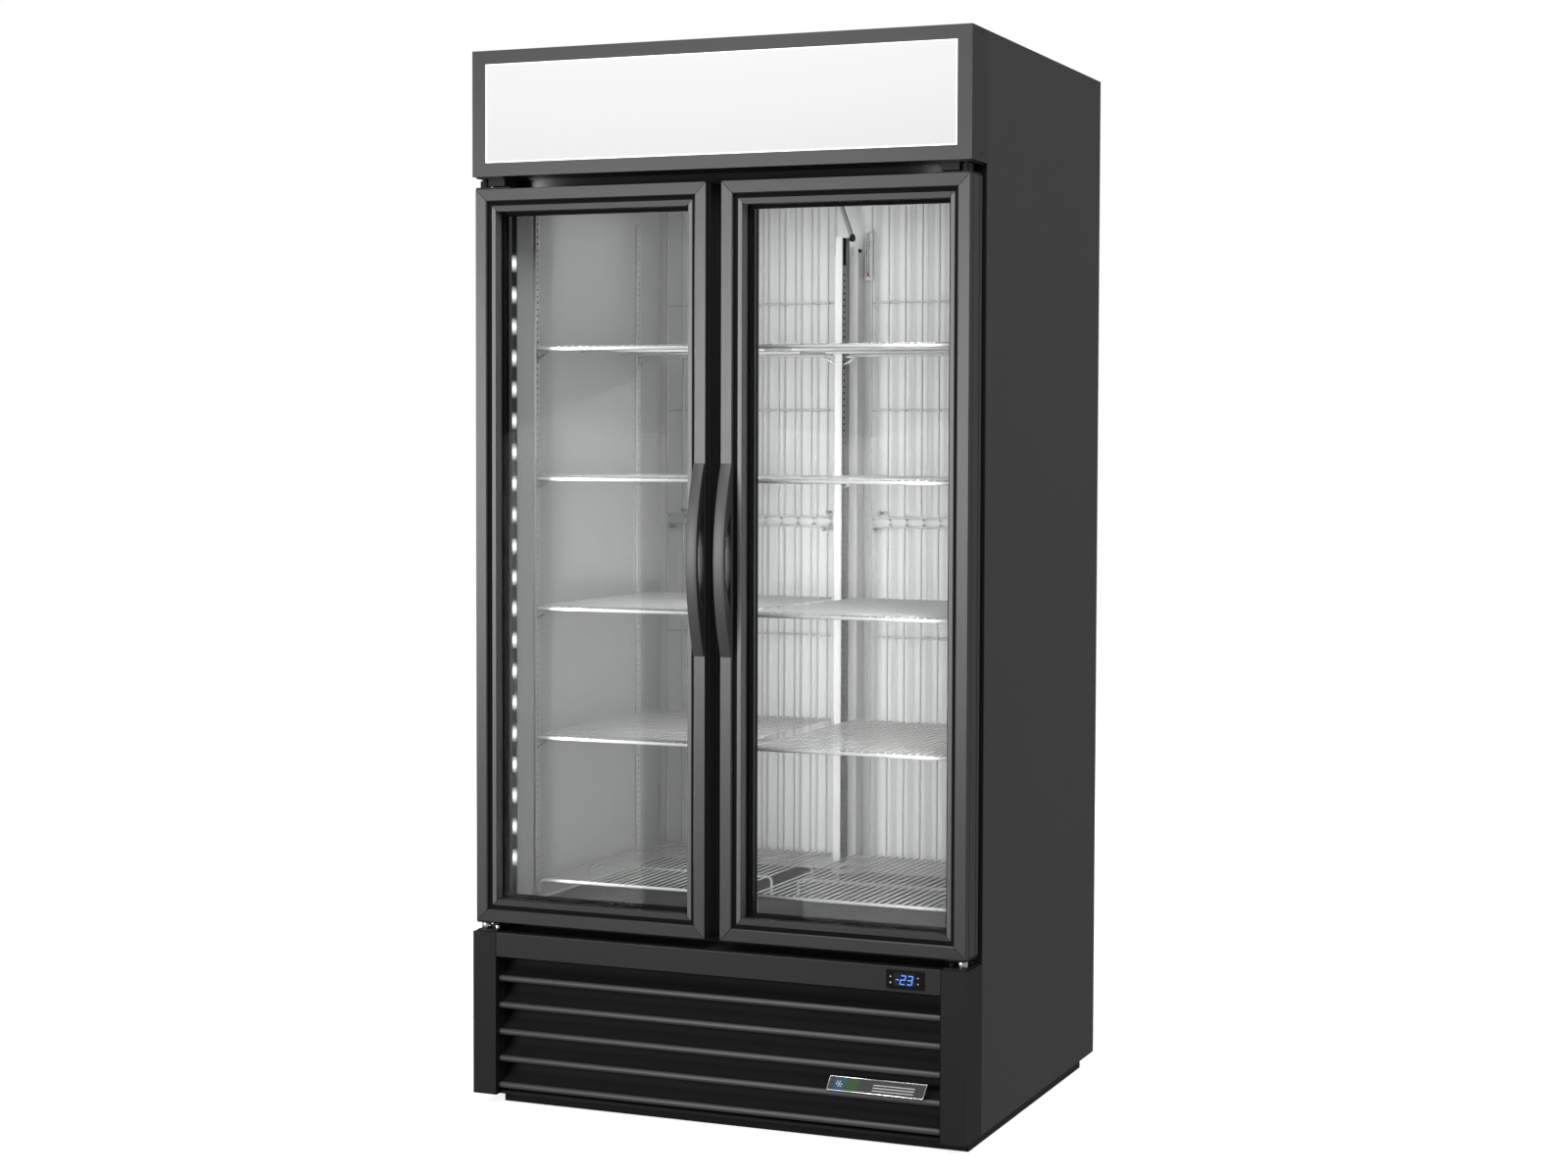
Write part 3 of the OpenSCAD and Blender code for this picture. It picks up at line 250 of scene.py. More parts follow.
def make_finishes():
    """Every material of the object by its short name."""
    along_z = (1, 1, 0.02)
    along_x = (0.02, 1, 1)
    return {
        "cabinet": surface("cabinet_paint", (0.045, 0.045, 0.046), 0.5, specular=0.3),
        "column": surface("column_paint", (0.012, 0.012, 0.0123), 0.5, specular=0.2),
        "sign_paint": surface("sign_paint", (0.055, 0.055, 0.056), 0.42, metal=0.75, specular=0.4),
        "grille": surface("grille_paint", (0.009, 0.009, 0.0093), 0.5, specular=0.25),
        # Painted highlight: the louvre lips are the same black paint as the blades, in a lighter copy that
        # stands for the light along each lip.
        "lip": surface("grille_lip_painted_highlight", (0.040, 0.040, 0.041), 0.48, specular=0.7),
        "header": surface("header_paint", (0.014, 0.014, 0.0145), 0.42, specular=0.3),
        "galvanised": zinc("galvanised_sheet", (0.5, 0.51, 0.52), 0.42),
        "foam": surface("foam", (0.78, 0.66, 0.38), 0.9, cloud=(40, 0.1), grain=(260, 0.12), bump=0.5),
        # Painted light and shade: the liner walls and the rear wall are one white sheet, but the side walls
        # get a darker copy and the rear wall a lighter one, for how the lamps light them.
        "liner": surface("liner_sheet", (0.50, 0.50, 0.502), 0.38, specular=0.4, cloud=(2.0, 0.02)),
        "rear_wall": surface("rear_wall_liner_painted_light", (0.60, 0.60, 0.602), 0.38, specular=0.4, cloud=(2.0, 0.02)),
        # Painted shade: a dark grey sheet for the shade that falls on the cabinet's floor under the racks.
        "floor_shade_sheet": surface("floor_shade_sheet", (0.05, 0.05, 0.051), 0.42, specular=0.5, cloud=(3.0, 0.03)),
        "jamb": surface("jamb_plastic", (0.016, 0.016, 0.0165), 0.8, specular=0.1),
        # Painted light: the mullion cover is made lighter to stand in for the light that reaches the deep gap
        # between the doors.
        "mullion": surface("mullion_plastic_painted_light", (0.33, 0.33, 0.332), 0.4, specular=0.4),
        "base": surface("base_steel", (0.004, 0.004, 0.0042), 0.5, specular=0.15),
        "sign_face": surface("sign_acrylic", (0.25, 0.25, 0.25), 0.6, specular=0.1, cloud=(1.5, 0.004),
                             grain=(300, 0.002), bump=0.004, glow=2.2),
        "sign_edge": surface("sign_edge_acrylic", (1.0, 1.0, 1.0), 0.3, cloud=(1.5, 0.004), glow=0.9),
        "white_steel": surface("white_steel", (0.64, 0.64, 0.64), 0.4, cloud=(3.0, 0.02)),
        "strip_steel": surface("strip_steel", (0.62, 0.62, 0.622), 0.4, cloud=(3.0, 0.02)),
        "wire": surface("white_wire", (0.54, 0.54, 0.54), 0.4, cloud=(9.0, 0.02), grain=(500, 0.02)),
        # Painted shade: the rear guards are the same white wire as the shelves, in a darker copy so they read
        # darker than the wall behind.
        "guard_wire": surface("guard_wire", (0.46, 0.46, 0.462), 0.35, cloud=(9.0, 0.02), grain=(500, 0.02)),
        "hinge": surface("hinge_paint", (0.010, 0.010, 0.0105), 0.5, specular=0.2, cloud=(40, 0.08)),
        "post_flank": surface("post_flank_steel", (0.25, 0.25, 0.252), 0.45, cloud=(3.0, 0.02)),
        # Painted shade behind the pilaster slots, and the dark of the joints beside the grille header.
        "slot_shade_and_joint_dark": surface("slot_shade_and_joint_dark", (0.004, 0.004, 0.004), 0.8, specular=0.1),
        "zinc": zinc("zinc_steel", (0.62, 0.62, 0.63), 0.3, scale=300.0),
        "coil": surface("coil_aluminium", (0.62, 0.63, 0.64), 0.35, metal=1.0, stretch=along_z),
        "copper": surface("copper_tube", (0.75, 0.36, 0.20), 0.3, metal=1.0, cloud=(30, 0.12)),
        "fan": surface("fan_plastic", (0.03, 0.03, 0.032), 0.5),
        "motor": surface("motor_metal", (0.10, 0.10, 0.105), 0.45, metal=0.3, cloud=(20, 0.06)),
        "tube": surface("tube_metal", (0.27, 0.27, 0.275), 0.45, cloud=(60, 0.08)),
        "compressor": surface("compressor_paint", (0.012, 0.012, 0.013), 0.3, cloud=(14, 0.1)),
        "screw": surface("screw_steel", (0.03, 0.03, 0.03), 0.35, metal=0.8),
        # Painted light and shade: the door frame and its beads are one aluminium, but the upright posts get
        # lighter copies and the rails darker ones, for how the light falls on them.
        "frame_posts": surface("door_aluminium_post_painted_light", (0.072, 0.072, 0.073), 0.40, metal=0.75,
                              specular=0.4, stretch=along_z, anisotropic=0.2),
        "frame_rails": surface("door_aluminium_rail_painted_shade", (0.052, 0.052, 0.053), 0.40, metal=0.75,
                              specular=0.4, stretch=along_x, anisotropic=0.2),
        "bead_posts": surface("bead_aluminium_post_painted_light", (0.11, 0.11, 0.111), 0.42, metal=0.5, specular=0.4),
        "bead_rails": surface("bead_aluminium_rail_painted_shade", (0.045, 0.045, 0.046), 0.42, metal=0.7, specular=0.3),
        # Also laid in the door grooves, where its black is painted shade.
        "spacer": surface("spacer_seal_and_groove_shade", (0.004, 0.004, 0.0042), 0.7, specular=0.1, stretch=along_z),
        "glass": clear_glass("door_glass", (0.99, 0.992, 0.991), 0.05),
        "tube_glass": clear_glass("thermometer_glass", (0.97, 0.98, 0.98), 1.0),
        "rubber": surface("black_rubber", (0.012, 0.012, 0.012), 0.6, specular=0.3, grain=(1500, 0.05)),
        "handle": surface("handle_plastic", (0.075, 0.075, 0.077), 0.42, metal=0.45, specular=0.45),
        "bush": surface("bush_plastic", (0.008, 0.008, 0.0085), 0.5, specular=0.2),
        "bezel": surface("controller_plastic", (0.003, 0.003, 0.0032), 0.3, specular=0.15),
        "window": surface("display_window", (0.003, 0.004, 0.008), 0.08, coat=0.6, grain=(400, 0.01)),
        "digit": surface("display_digit", (0.07, 0.26, 1.0), 0.4, glow=0.9, cloud=(300, 0.08)),
        # The glow is painted light: the printed key marks and the badge star glow a little though no lamp
        # lights them.
        "icon": surface("key_icon_painted_glow", (0.50, 0.52, 0.54), 0.5, glow=0.15, cloud=(300, 0.05)),
        "chrome": surface("badge_chrome", (0.82, 0.82, 0.84), 0.18, metal=1.0, cloud=(60, 0.03)),
        "badge_field": surface("badge_field", (0.045, 0.047, 0.05), 0.4, stretch=along_x),
        "badge_blue": surface("badge_blue", (0.02, 0.09, 0.17), 0.4, cloud=(120, 0.2)),
        "badge_green": surface("badge_green", (0.03, 0.09, 0.03), 0.4, cloud=(160, 0.3)),
        "raised_bar": surface("badge_raised_bar", (0.62, 0.62, 0.63), 0.5, metal=0.3, cloud=(120, 0.05)),
        "scale_card": surface("thermometer_card", (0.70, 0.71, 0.73), 0.5, cloud=(200, 0.06)),
        "ink": surface("scale_ink", (0.05, 0.05, 0.07), 0.6),
        "red": surface("thermometer_spirit", (0.45, 0.01, 0.02), 0.25, cloud=(300, 0.1)),
        "led": led_lens("led_lens", LED_PITCH, LED_FIRST_Z),
    }


# ---------------------------------------------------------------- mesh tools


def angles(count):
    """Evenly spaced angles round a full turn."""
    return [2 * math.pi * k / count for k in range(count)]


def rounded_rectangle(x0, x1, y0, y1, radius, steps=3):
    """Outline of a rectangle with rounded corners."""
    r = max(radius, 0.01)
    centres = ((x1 - r, y0 + r), (x1 - r, y1 - r), (x0 + r, y1 - r), (x0 + r, y0 + r))
    points = []
    for quarter, (cx, cy) in enumerate(centres):
        for k in range(steps + 1):
            a = (quarter - 1 + k / steps) * math.pi / 2
            points.append((cx + r * math.cos(a), cy + r * math.sin(a)))
    return points


def inset(outline, amount):
    """The same closed outline moved inward by amount. Its points run counter-clockwise."""
    moved = []
    count = len(outline)
    for k in range(count):
        before, here, after = (Vector(outline[(k + d) % count]) for d in (-1, 0, 1))
        edge_in = (here - before).normalized()
        edge_out = (after - here).normalized()
        normal = Vector((-edge_in.y - edge_out.y, edge_in.x + edge_out.x))
        normal = normal.normalized() if normal.length > 1e-6 else Vector((-edge_in.y, edge_in.x))
        slant = max(normal.dot(Vector((-edge_in.y, edge_in.x))), 0.5)
        moved.append(here + normal * amount / slant)
    return moved


def counter_clockwise(outline):
    """The outline with its points in counter-clockwise order."""
    count = len(outline)
    area = sum(outline[k][0] * outline[(k + 1) % count][1] - outline[(k + 1) % count][0] * outline[k][1]
               for k in range(count))
    return list(outline) if area > 0 else list(reversed(outline))


def soften(points, radius, steps=5, loop=False):
    """A polyline with each corner replaced by a curve that starts radius before it."""
    points = [Vector(p) for p in points]
    count = len(points)
    path = []
    for k, here in enumerate(points):
        if not loop and k in (0, count - 1):
            path.append(here)
            continue
        to_before = points[k - 1] - here
        to_after = points[(k + 1) % count] - here
        cut = min(radius, to_before.length * 0.49, to_after.length * 0.49)
        start = here + to_before.normalized() * cut
        end = here + to_after.normalized() * cut
        for s in range(steps + 1):
            t = s / steps
            path.append(start * (1 - t) ** 2 + here * 2 * t * (1 - t) + end * t ** 2)
    return path


AXES = {
    "x": lambda u, v, w: (w, u, v),
    "y": lambda u, v, w: (u, w, v),
    "z": lambda u, v, w: (u, v, w),
}


class Shape:
    """Faces gathered in millimetres."""

    def __init__(self):
        self.mesh = bmesh.new()

    def loft(self, rings, closed=True, caps=True, loop=False):
        """Joins rings of equally many points, each a closed outline unless closed is False."""
        rows = [[self.mesh.verts.new(Vector(p) * MM) for p in ring] for ring in rings]
        count = len(rows[0])
        pairs = list(zip(rows, rows[1:]))
        if loop:
            pairs.append((rows[-1], rows[0]))
        for here, there in pairs:
            for k in range(count if closed else count - 1):
                n = (k + 1) % count
                self.mesh.faces.new((here[k], here[n], there[n], there[k]))
        if closed and caps and not loop:
            self.mesh.faces.new(rows[0][::-1])
            self.mesh.faces.new(rows[-1])
        return self

    def prism(self, outline, axis, start, end, edge=0.0):
        """An outline pushed along an axis, with its end edges chamfered by edge."""
        place = AXES[axis]
        outline = counter_clockwise(outline)
        levels = [(start, 0.0), (end, 0.0)]
        if edge:
            levels = [(start, edge), (start + edge, 0.0), (end - edge, 0.0), (end, edge)]
        rings = [[place(u, v, w) for u, v in (inset(outline, cut) if cut else outline)] for w, cut in levels]
        return self.loft(rings)

    def block(self, low, high, radius=0.5, steps=2):
        """A box with rounded edges."""
        (x0, y0, z0), (x1, y1, z1) = low, high
        r = min(radius, (x1 - x0) * 0.49, (y1 - y0) * 0.49, (z1 - z0) * 0.49)
        turns = [k / steps * math.pi / 2 for k in range(steps + 1)]
        levels = [(z0 + r * (1 - math.cos(a)), a) for a in turns]
        levels += [(z1 - r * (1 - math.cos(a)), a) for a in reversed(turns)]
        rings = []
        for z, a in levels:
            cut = r * (1 - math.sin(a))
            flat = rounded_rectangle(x0 + cut, x1 - cut, y0 + cut, y1 - cut, r * math.sin(a), steps)
            rings.append([(x, y, z) for x, y in flat])
        return self.loft(rings)

    def tube(self, path, radius, sides=8, loop=False, round_ends=True):
        """A round bar along a path, with domed ends."""
        points = [Vector(p) for p in path]
        radii = [radius] * len(points)
        if round_ends and not loop:
            first = (points[0] - points[1]).normalized()
            last = (points[-1] - points[-2]).normalized()
            turns = (0.0, 0.5, 0.85)
            head = [points[0] - first * radius * (1 - math.cos(t * math.pi / 2)) for t in turns]
            tail = [points[-1] - last * radius * (1 - math.cos(t * math.pi / 2)) for t in turns]
            widths = [radius * max(math.sin(t * math.pi / 2), 0.25) for t in turns]
            points = head + points[1:-1] + tail[::-1]
            radii = widths + [radius] * (len(points) - 6) + widths[::-1]
            points.insert(3, points[2] + (points[3] - points[2]).normalized() * radius * 0.3)
            radii.insert(3, radius)
            points.insert(-3, points[-3] + (points[-4] - points[-3]).normalized() * radius * 0.3)
            radii.insert(-3, radius)
        count = len(points)
        rings = []
        normal = None
        for k, here in enumerate(points):
            before = points[k - 1] if k or loop else here
            after = points[(k + 1) % count] if k < count - 1 or loop else here
            along = (after - before).normalized()
            if normal is None:
                helper = Vector((0, 0, 1)) if abs(along.z) < 0.9 else Vector((1, 0, 0))
                normal = along.cross(helper).normalized()
            normal = (normal - along * normal.dot(along)).normalized()
            side = along.cross(normal)
            rings.append([here + (normal * math.cos(a) + side * math.sin(a)) * radii[k]
                          for a in angles(sides)])
        return self.loft(rings, loop=loop)

    def lathe(self, profile, centre, axis="z", sides=32):
        """(radius, height) pairs turned round an axis through centre."""
        place = AXES[axis]
        base = Vector(centre)
        rings = []
        for radius, height in profile:
            r = max(radius, 0.01)
            spots = [place(r * math.cos(a), r * math.sin(a), height) for a in angles(sides)]
            rings.append([base + Vector(spot) for spot in spots])
        return self.loft(rings)

    def mitred_ring(self, section, rect, front, gap=0.15, chamfer=0.6, bars="bottom right top left"):
        """Bars of one section round a rectangle, each ending on the corner's mitre plane.

        section holds (inward from the edge, back from the front) pairs, rect is x0, x1, z0, z1.
        """
        x0, x1, z0, z1 = rect
        section = counter_clockwise(section)
        sides = {
            "bottom": ((x0, z0), (1, 0), (0, 1), x1 - x0),
            "right": ((x1, z0), (0, 1), (-1, 0), z1 - z0),
            "top": ((x1, z1), (-1, 0), (0, -1), x1 - x0),
            "left": ((x0, z1), (0, -1), (1, 0), z1 - z0),
        }
        for name in bars.split():
            (ox, oz), (ax, az), (ix, iz), length = sides[name]
            levels = [(gap, chamfer), (gap + chamfer, 0.0)] if chamfer else [(gap, 0.0)]
            rings = []
            for far in (False, True):
                for off, cut in reversed(levels) if far else levels:
                    outline = inset(section, cut) if cut else section
                    ring = []
                    for i, b in outline:
                        s = length - i - off if far else i + off
                        ring.append((ox + ax * s + ix * i, front + b, oz + az * s + iz * i))
                    rings.append(ring)
            self.loft(rings)
        return self

    def object(self, name, finish, smooth=35.0):
        """The gathered faces as one object in metres."""
        bmesh.ops.recalc_face_normals(self.mesh, faces=self.mesh.faces)
        data = bpy.data.meshes.new(name)
        self.mesh.to_mesh(data)
        self.mesh.free()
        data.materials.append(finish)
        data.shade_smooth()
        data.set_sharp_from_angle(angle=math.radians(smooth))
        piece = bpy.data.objects.new(name, data)
        bpy.context.scene.collection.objects.link(piece)
        return piece

    def make(self, name, finish, slot, covers=(), smooth=35.0, body="cabinet"):
        """The gathered faces as a piece that rides on a body and may stand for CAD nodes."""
        piece = self.object(name, FINISH[finish], smooth)
        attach(piece, body)
        if covers:
            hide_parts(*covers)
        return piece


def bevelled(piece, width):
    """Rounds a piece's sharp edges."""
    modifier = piece.modifiers.new("rounding", "BEVEL")
    modifier.width = width * MM
    modifier.segments = 2
    modifier.limit_method = "ANGLE"
    modifier.angle_limit = math.radians(40)
    modifier.harden_normals = False


# ---------------------------------------------------------------- doors

FACE_W = 24.0
GROOVE_W = 6.5
GLASS_INSET = 43.0
FRAME_SECTION = [
    (0, 1.2), (0.35, 0.35), (1.2, 0), (FACE_W - 2.2, 0), (FACE_W - 0.25, 1.35), (FACE_W, 1.8),
    (FACE_W, 9), (FACE_W + GROOVE_W, 9), (FACE_W + GROOVE_W, 48), (GLASS_INSET, 48),
    (GLASS_INSET, 61), (GLASS_INSET - 1, 62), (0, 62), (0, 50), (1.6, 49.6), (1.6, 47.4), (0, 47),
    (0, 17), (1.8, 16.4), (1.8, 14.4), (0, 14),
]
POST_BEAD_SECTION = [
    (FACE_W + GROOVE_W, 8.0), (FACE_W + GROOVE_W + 1.0, 7.0), (GLASS_INSET - 4.0, 7.0),
    (GLASS_INSET - 3.4, 7.6), (GLASS_INSET, 18.0), (GLASS_INSET, 24), (FACE_W + GROOVE_W, 24),
]
RAIL_BEAD_SECTION = [
    (FACE_W + GROOVE_W, 8.0), (FACE_W + GROOVE_W + 1.0, 7.0), (GLASS_INSET - 0.8, 7.0),
    (GLASS_INSET, 7.8), (GLASS_INSET, 18.0), (GLASS_INSET, 24), (FACE_W + GROOVE_W, 24),
]
# A black strip along the bottom of the frame's groove: painted shade for the darkness deep in the groove.
GROOVE_SHADE_SECTION = [
    (FACE_W + 0.1, 6), (FACE_W + GROOVE_W - 0.1, 6), (FACE_W + GROOVE_W - 0.1, 8.9), (FACE_W + 0.1, 8.9),
]
GASKET_SECTION = [
    (12, 62), (28, 62), (28, 63.6), (25.5, 65), (27.4, 67), (28, 70), (27.4, 74.5), (26, 76),
    (14, 76), (12.6, 74.5), (12, 70), (12.6, 67), (14.5, 65), (12, 63.6),
]


def make_door(side):
    """One door: mitred frame and beads, gasket, sealed glass unit and bow handle."""
    body = f"{side}_door"
    low, high = span(f"{side}_door_frame")
    rect = (low.x, high.x, low.z, high.z)
    front = low.y
    pieces = (("posts", "left right", POST_BEAD_SECTION), ("rails", "top bottom", RAIL_BEAD_SECTION))
    for part, bars, bead_section in pieces:
        kinds = (("frame", FRAME_SECTION, 0.6, "door_aluminium"), ("bead", bead_section, 0.4, "bead_plastic"))
        for kind, section, chamfer, slot in kinds:
            covers = (f"{side}_door_{kind}",) if part == "posts" else ()
            Shape().mitred_ring(section, rect, front, chamfer=chamfer, bars=bars).make(
                f"{side}_{kind}_{part}", f"{kind}_{part}", slot, covers, smooth=12, body=body)
    # Painted shade: the black strip in the groove stands in for its shadow.
    Shape().mitred_ring(GROOVE_SHADE_SECTION, rect, front, gap=0.02, chamfer=0.0).make(
        f"{side}_groove_painted_shade", "spacer", "black_rubber", body=body)
    Shape().mitred_ring(GASKET_SECTION, rect, front, gap=0.02, chamfer=0.0).make(
        f"{side}_gasket_seal", "rubber", "black_rubber", (f"{side}_door_gasket",), smooth=50, body=body)
    make_glass_unit(side, body)
    make_handle(side, body)


def make_glass_unit(side, body):
    """Three panes held apart by two dark spacers."""
    low, high = span(f"{side}_door_glass")
    pane, width, corner = 4.0, 16.0, 1.6
    step = (high.y - low.y - pane) / 2
    panes = Shape()
    for k in range(3):
        y = low.y + k * step
        panes.block((low.x, y, low.z), (high.x, y + pane, high.z), 0.6)
    panes.make(f"{side}_glass_panes", "glass", "door_glass", (f"{side}_door_glass",), body=body)
    spacers = Shape()
    rect = (low.x, high.x, low.z, high.z)
    depth = step - pane - 0.2
    section = [(0, 0), (width - corner, 0), (width, 1.2),
               (width, depth - 1.2), (width - corner, depth), (0, depth)]
    for k in range(2):
        spacers.mitred_ring(section, rect, low.y + k * step + pane + 0.1, gap=0.02, chamfer=0.0)
    spacers.make(f"{side}_glass_spacers", "spacer", "black_rubber", body=body)


def make_handle(side, body):
    """Bow handle: a thin strip that springs from its feet over an open finger gap."""
    low, high = span(f"{side}_door_handle")
    middle = (low.z + high.z) / 2
    half = (high.z - low.z) / 2
    reach = high.y - low.y
    foot = 3.0
    gap_half = 94.0
    gap_depth = reach - 9.0
    crown, shoulder = 0.9, 5.0
    steps = 28

    def rise(z, chord, height):
        """How far an arc of that chord and height stands out at z."""
        radius = (chord * chord + height * height) / (2 * height)
        return height - radius + math.sqrt(radius * radius - z * z)

    heights = [half * k / steps for k in range(-steps, steps + 1)]
    rings = []
    for height in sorted(set(heights) | {-gap_half, gap_half}):
        z = middle + height
        face = high.y - foot - rise(height, half, reach - foot)
        back = high.y - (rise(height, gap_half, gap_depth) if abs(height) < gap_half else 0.0)
        rings.append([
            (low.x, back, z), (high.x, back, z), (high.x, face + crown, z),
            (high.x - shoulder, face + 0.15, z), ((low.x + high.x) / 2, face, z),
            (low.x + shoulder, face + 0.15, z), (low.x, face + crown, z)])
    piece = Shape().loft(rings).make(
        f"{side}_bow_handle", "handle", "handle_plastic", (f"{side}_door_handle",), smooth=30, body=body)
    bevelled(piece, 1.0)


# ---------------------------------------------------------------- wire goods

WIRE_PITCH = 15.8
WIRE_D = 3.4
FRONT_ROD_R = 3.4


def wire_positions(low_x, high_x):
    """Evenly spaced wires from edge to edge, close to the usual pitch."""
    inner = high_x - low_x - WIRE_D
    count = round(inner / WIRE_PITCH)
    return [low_x + WIRE_D / 2 + inner * k / count for k in range(count + 1)]


def make_shelf(side, level):
    """Surface wires that lap over a thick front rod, with thinner rods under the middle and back."""
    node = f"shelf_{side}_{level}"
    low, high = span(node)
    shape = Shape()
    wire_z = high.z - WIRE_D / 2
    rod_z = high.z - WIRE_D - 3.1
    front = low.y + FRONT_ROD_R
    rear = high.y - 2.6
    for x in wire_positions(low.x, high.x):
        nose = [(x, rear + 1.5, wire_z), (x, front, wire_z), (x, low.y + 0.2, wire_z - 1.2)]
        shape.tube(nose, WIRE_D / 2)
    rods = [(0.5, front, 0.0, FRONT_ROD_R, 12), (0.5, rear, 0.4, 2.8, 10)]
    rods += [(1, low.y + (high.y - low.y) * share, 0.9, 2.5, 8) for share in (0.34, 0.67)]
    for short, y, lift, radius, sides in rods:
        shape.tube([(low.x + short, y, rod_z + lift), (high.x - short, y, rod_z + lift)], radius, sides)
    shape.make(f"shelf_wires_{side}_{level}", "wire", "white_wire", (node,), smooth=60)


def make_floor_racks():
    """Two low racks: their cross rods bend down at both ends and stand on runners."""
    low, high = span("floor_racks")
    inner_x, outer_x = 27.0, high.x
    shape = Shape()
    wire_z = high.z - WIRE_D / 2
    rod_z = high.z - WIRE_D - 2.6
    foot_z = low.z + 2.8
    front, rear = low.y + 3.6, high.y - 3
    for side in (-1, 1):
        inner_leg, outer_leg = side * (inner_x + 2), side * (outer_x - 2)
        for x in wire_positions(inner_x, outer_x):
            shape.tube([(side * x, high.y, wire_z), (side * x, low.y, wire_z)], WIRE_D / 2)
        for share, radius in ((0.0, FRONT_ROD_R), (0.40, 2.8), (0.80, 2.8)):
            y = front + (high.y - low.y) * share
            path = [(inner_leg, y, foot_z), (inner_leg, y, rod_z),
                    (outer_leg, y, rod_z), (outer_leg, y, foot_z)]
            if share == 0.0:
                path.append((outer_leg, high.y - 70, foot_z))
            shape.tube(soften(path, 10), radius, 10)
        shape.tube([(side * (inner_x + 1), rear, rod_z), (side * (outer_x - 1), rear, rod_z)], 2.6)
    shape.make("floor_rack_wires", "wire", "white_wire", ("floor_racks",), smooth=60)


def make_rear_guards():
    """Upright wires whose ends bend back to the wall where the upper and lower guards meet."""
    low, high = span("rear_guards")
    wire = 2.25
    overhang, bend_z, hook_z = 4, 14, 3
    first_x, step, count = 49.0, 37.0, 11
    last_x = first_x + step * (count - 1)
    y = low.y + 2 + wire
    rod_y = y + 2 * wire - 0.4
    split_z = 1102.0
    levels = ((split_z, high.z, (1111, 1332.5, 1553.5)), (split_z, low.z, (1092, 865, 638)))
    shape = Shape()
    for side in (-1, 1):
        for k in range(count):
            x = side * (first_x + step * k)
            for split, far, _ in levels:
                away = math.copysign(1, far - split)
                path = [(x, y, far), (x, y, split + away * bend_z), (x, high.y - wire, split + away * hook_z)]
                shape.tube(soften(path, 8), wire)
        for _, _, rods in levels:
            for z in rods:
                ends = (side * (first_x - overhang), side * (last_x + overhang))
                shape.tube([(x, rod_y, z) for x in ends], wire)
    shape.make("rear_guard_wires", "guard_wire", "white_wire", ("rear_guards",), smooth=60)
    knobs = Shape()
    profile = [(0, -4), (2.6, -4), (3.9, -3.2), (4.6, -1.5), (4.8, 1), (4.2, 2.4), (2.4, 2.6), (2.4, 17)]
    upper_z, lower_z = split_z + 19, split_z - 16
    outer_x = last_x - 11
    spots = [(-48, upper_z), (-57, lower_z), (68, upper_z), (55, lower_z),
             (26 - outer_x, upper_z), (-outer_x, lower_z), (outer_x, upper_z), (outer_x, lower_z)]
    for x, z in spots:
        knobs.lathe(profile, (x, y, z), "y", 20)
    knobs.make("guard_knobs", "tube", "bush_plastic", smooth=50)


# ---------------------------------------------------------------- shelf supports

SLOT_PITCH = 12.7
STRIP_Z0 = 385.0
STRIP_FRONT_Y, STRIP_REAR_Y = -226.0, 194.0
SHEET = 0.9


def slotted_face(shape, place, width, z1, slot_w, slot_h):
    """A flat strip with a column of upright slots. place maps (across, z) to a point."""
    cuts = [0.0, width / 2 - slot_w / 2, width / 2 + slot_w / 2, width]
    z0, margin = STRIP_Z0, 10
    count = int((z1 - z0 - 2 * margin) / SLOT_PITCH)
    levels = [z0]
    for k in range(count):
        middle = z0 + margin + SLOT_PITCH * (k + 0.5)
        levels += [middle - slot_h / 2, middle + slot_h / 2]
    levels.append(z1)
    grid = [[shape.mesh.verts.new(Vector(place(u, z)) * MM) for u in cuts] for z in levels]
    for row, (under, over) in enumerate(zip(grid, grid[1:])):
        for col in range(3):
            if row % 2 == 0 or col != 1:
                shape.mesh.faces.new((under[col], under[col + 1], over[col + 1], over[col]))


def upright_sheet(shape, x0, y0, x1, y1, z0, z1):
    """A flat upright sheet from z0 to z1 over the line between two points of the floor plan."""
    shape.loft([[(x0, y0, z0), (x1, y1, z0)], [(x0, y0, z1), (x1, y1, z1)]], closed=False)


def thickened(piece):
    """Gives a sheet its thickness."""
    modifier = piece.modifiers.new("sheet", "SOLIDIFY")
    modifier.thickness = SHEET * MM
    modifier.offset = 0


def make_pilasters():
    """Slotted strips on the side walls, behind the mullion and on the rear centre post."""
    _, high = span("pilasters")
    wall, top = high.x, high.z
    width, depth = 14.0, 4.0
    strips = Shape()
    slot_shades = Shape()
    for side in (-1, 1):
        for middle in (STRIP_FRONT_Y, STRIP_REAR_Y):
            y0 = middle - width / 2
            x = side * (wall - depth)
            slotted_face(strips, lambda u, z, x=x, y0=y0: (x, y0 + u, z), width, top, 5.0, 3.4)
            for edge in (y0, y0 + width):
                upright_sheet(strips, x, edge, side * wall, edge, STRIP_Z0, top)
            back_x0, back_x1 = sorted((side * wall, side * (wall - 0.8)))
            # Dark block behind the slots: painted shade seen through them.
            slot_shades.block((back_x0, y0 + 2, STRIP_Z0 + 2), (back_x1, y0 + width - 2, top - 2), 0.2)
    make_mullion_strip(strips, slot_shades)
    thickened(strips.make("pilaster_strips", "strip_steel", "white_steel", ("pilasters",)))
    make_center_post(slot_shades)
    slot_shades.make("pilaster_slot_shades", "slot_shade_and_joint_dark", "jamb_plastic")


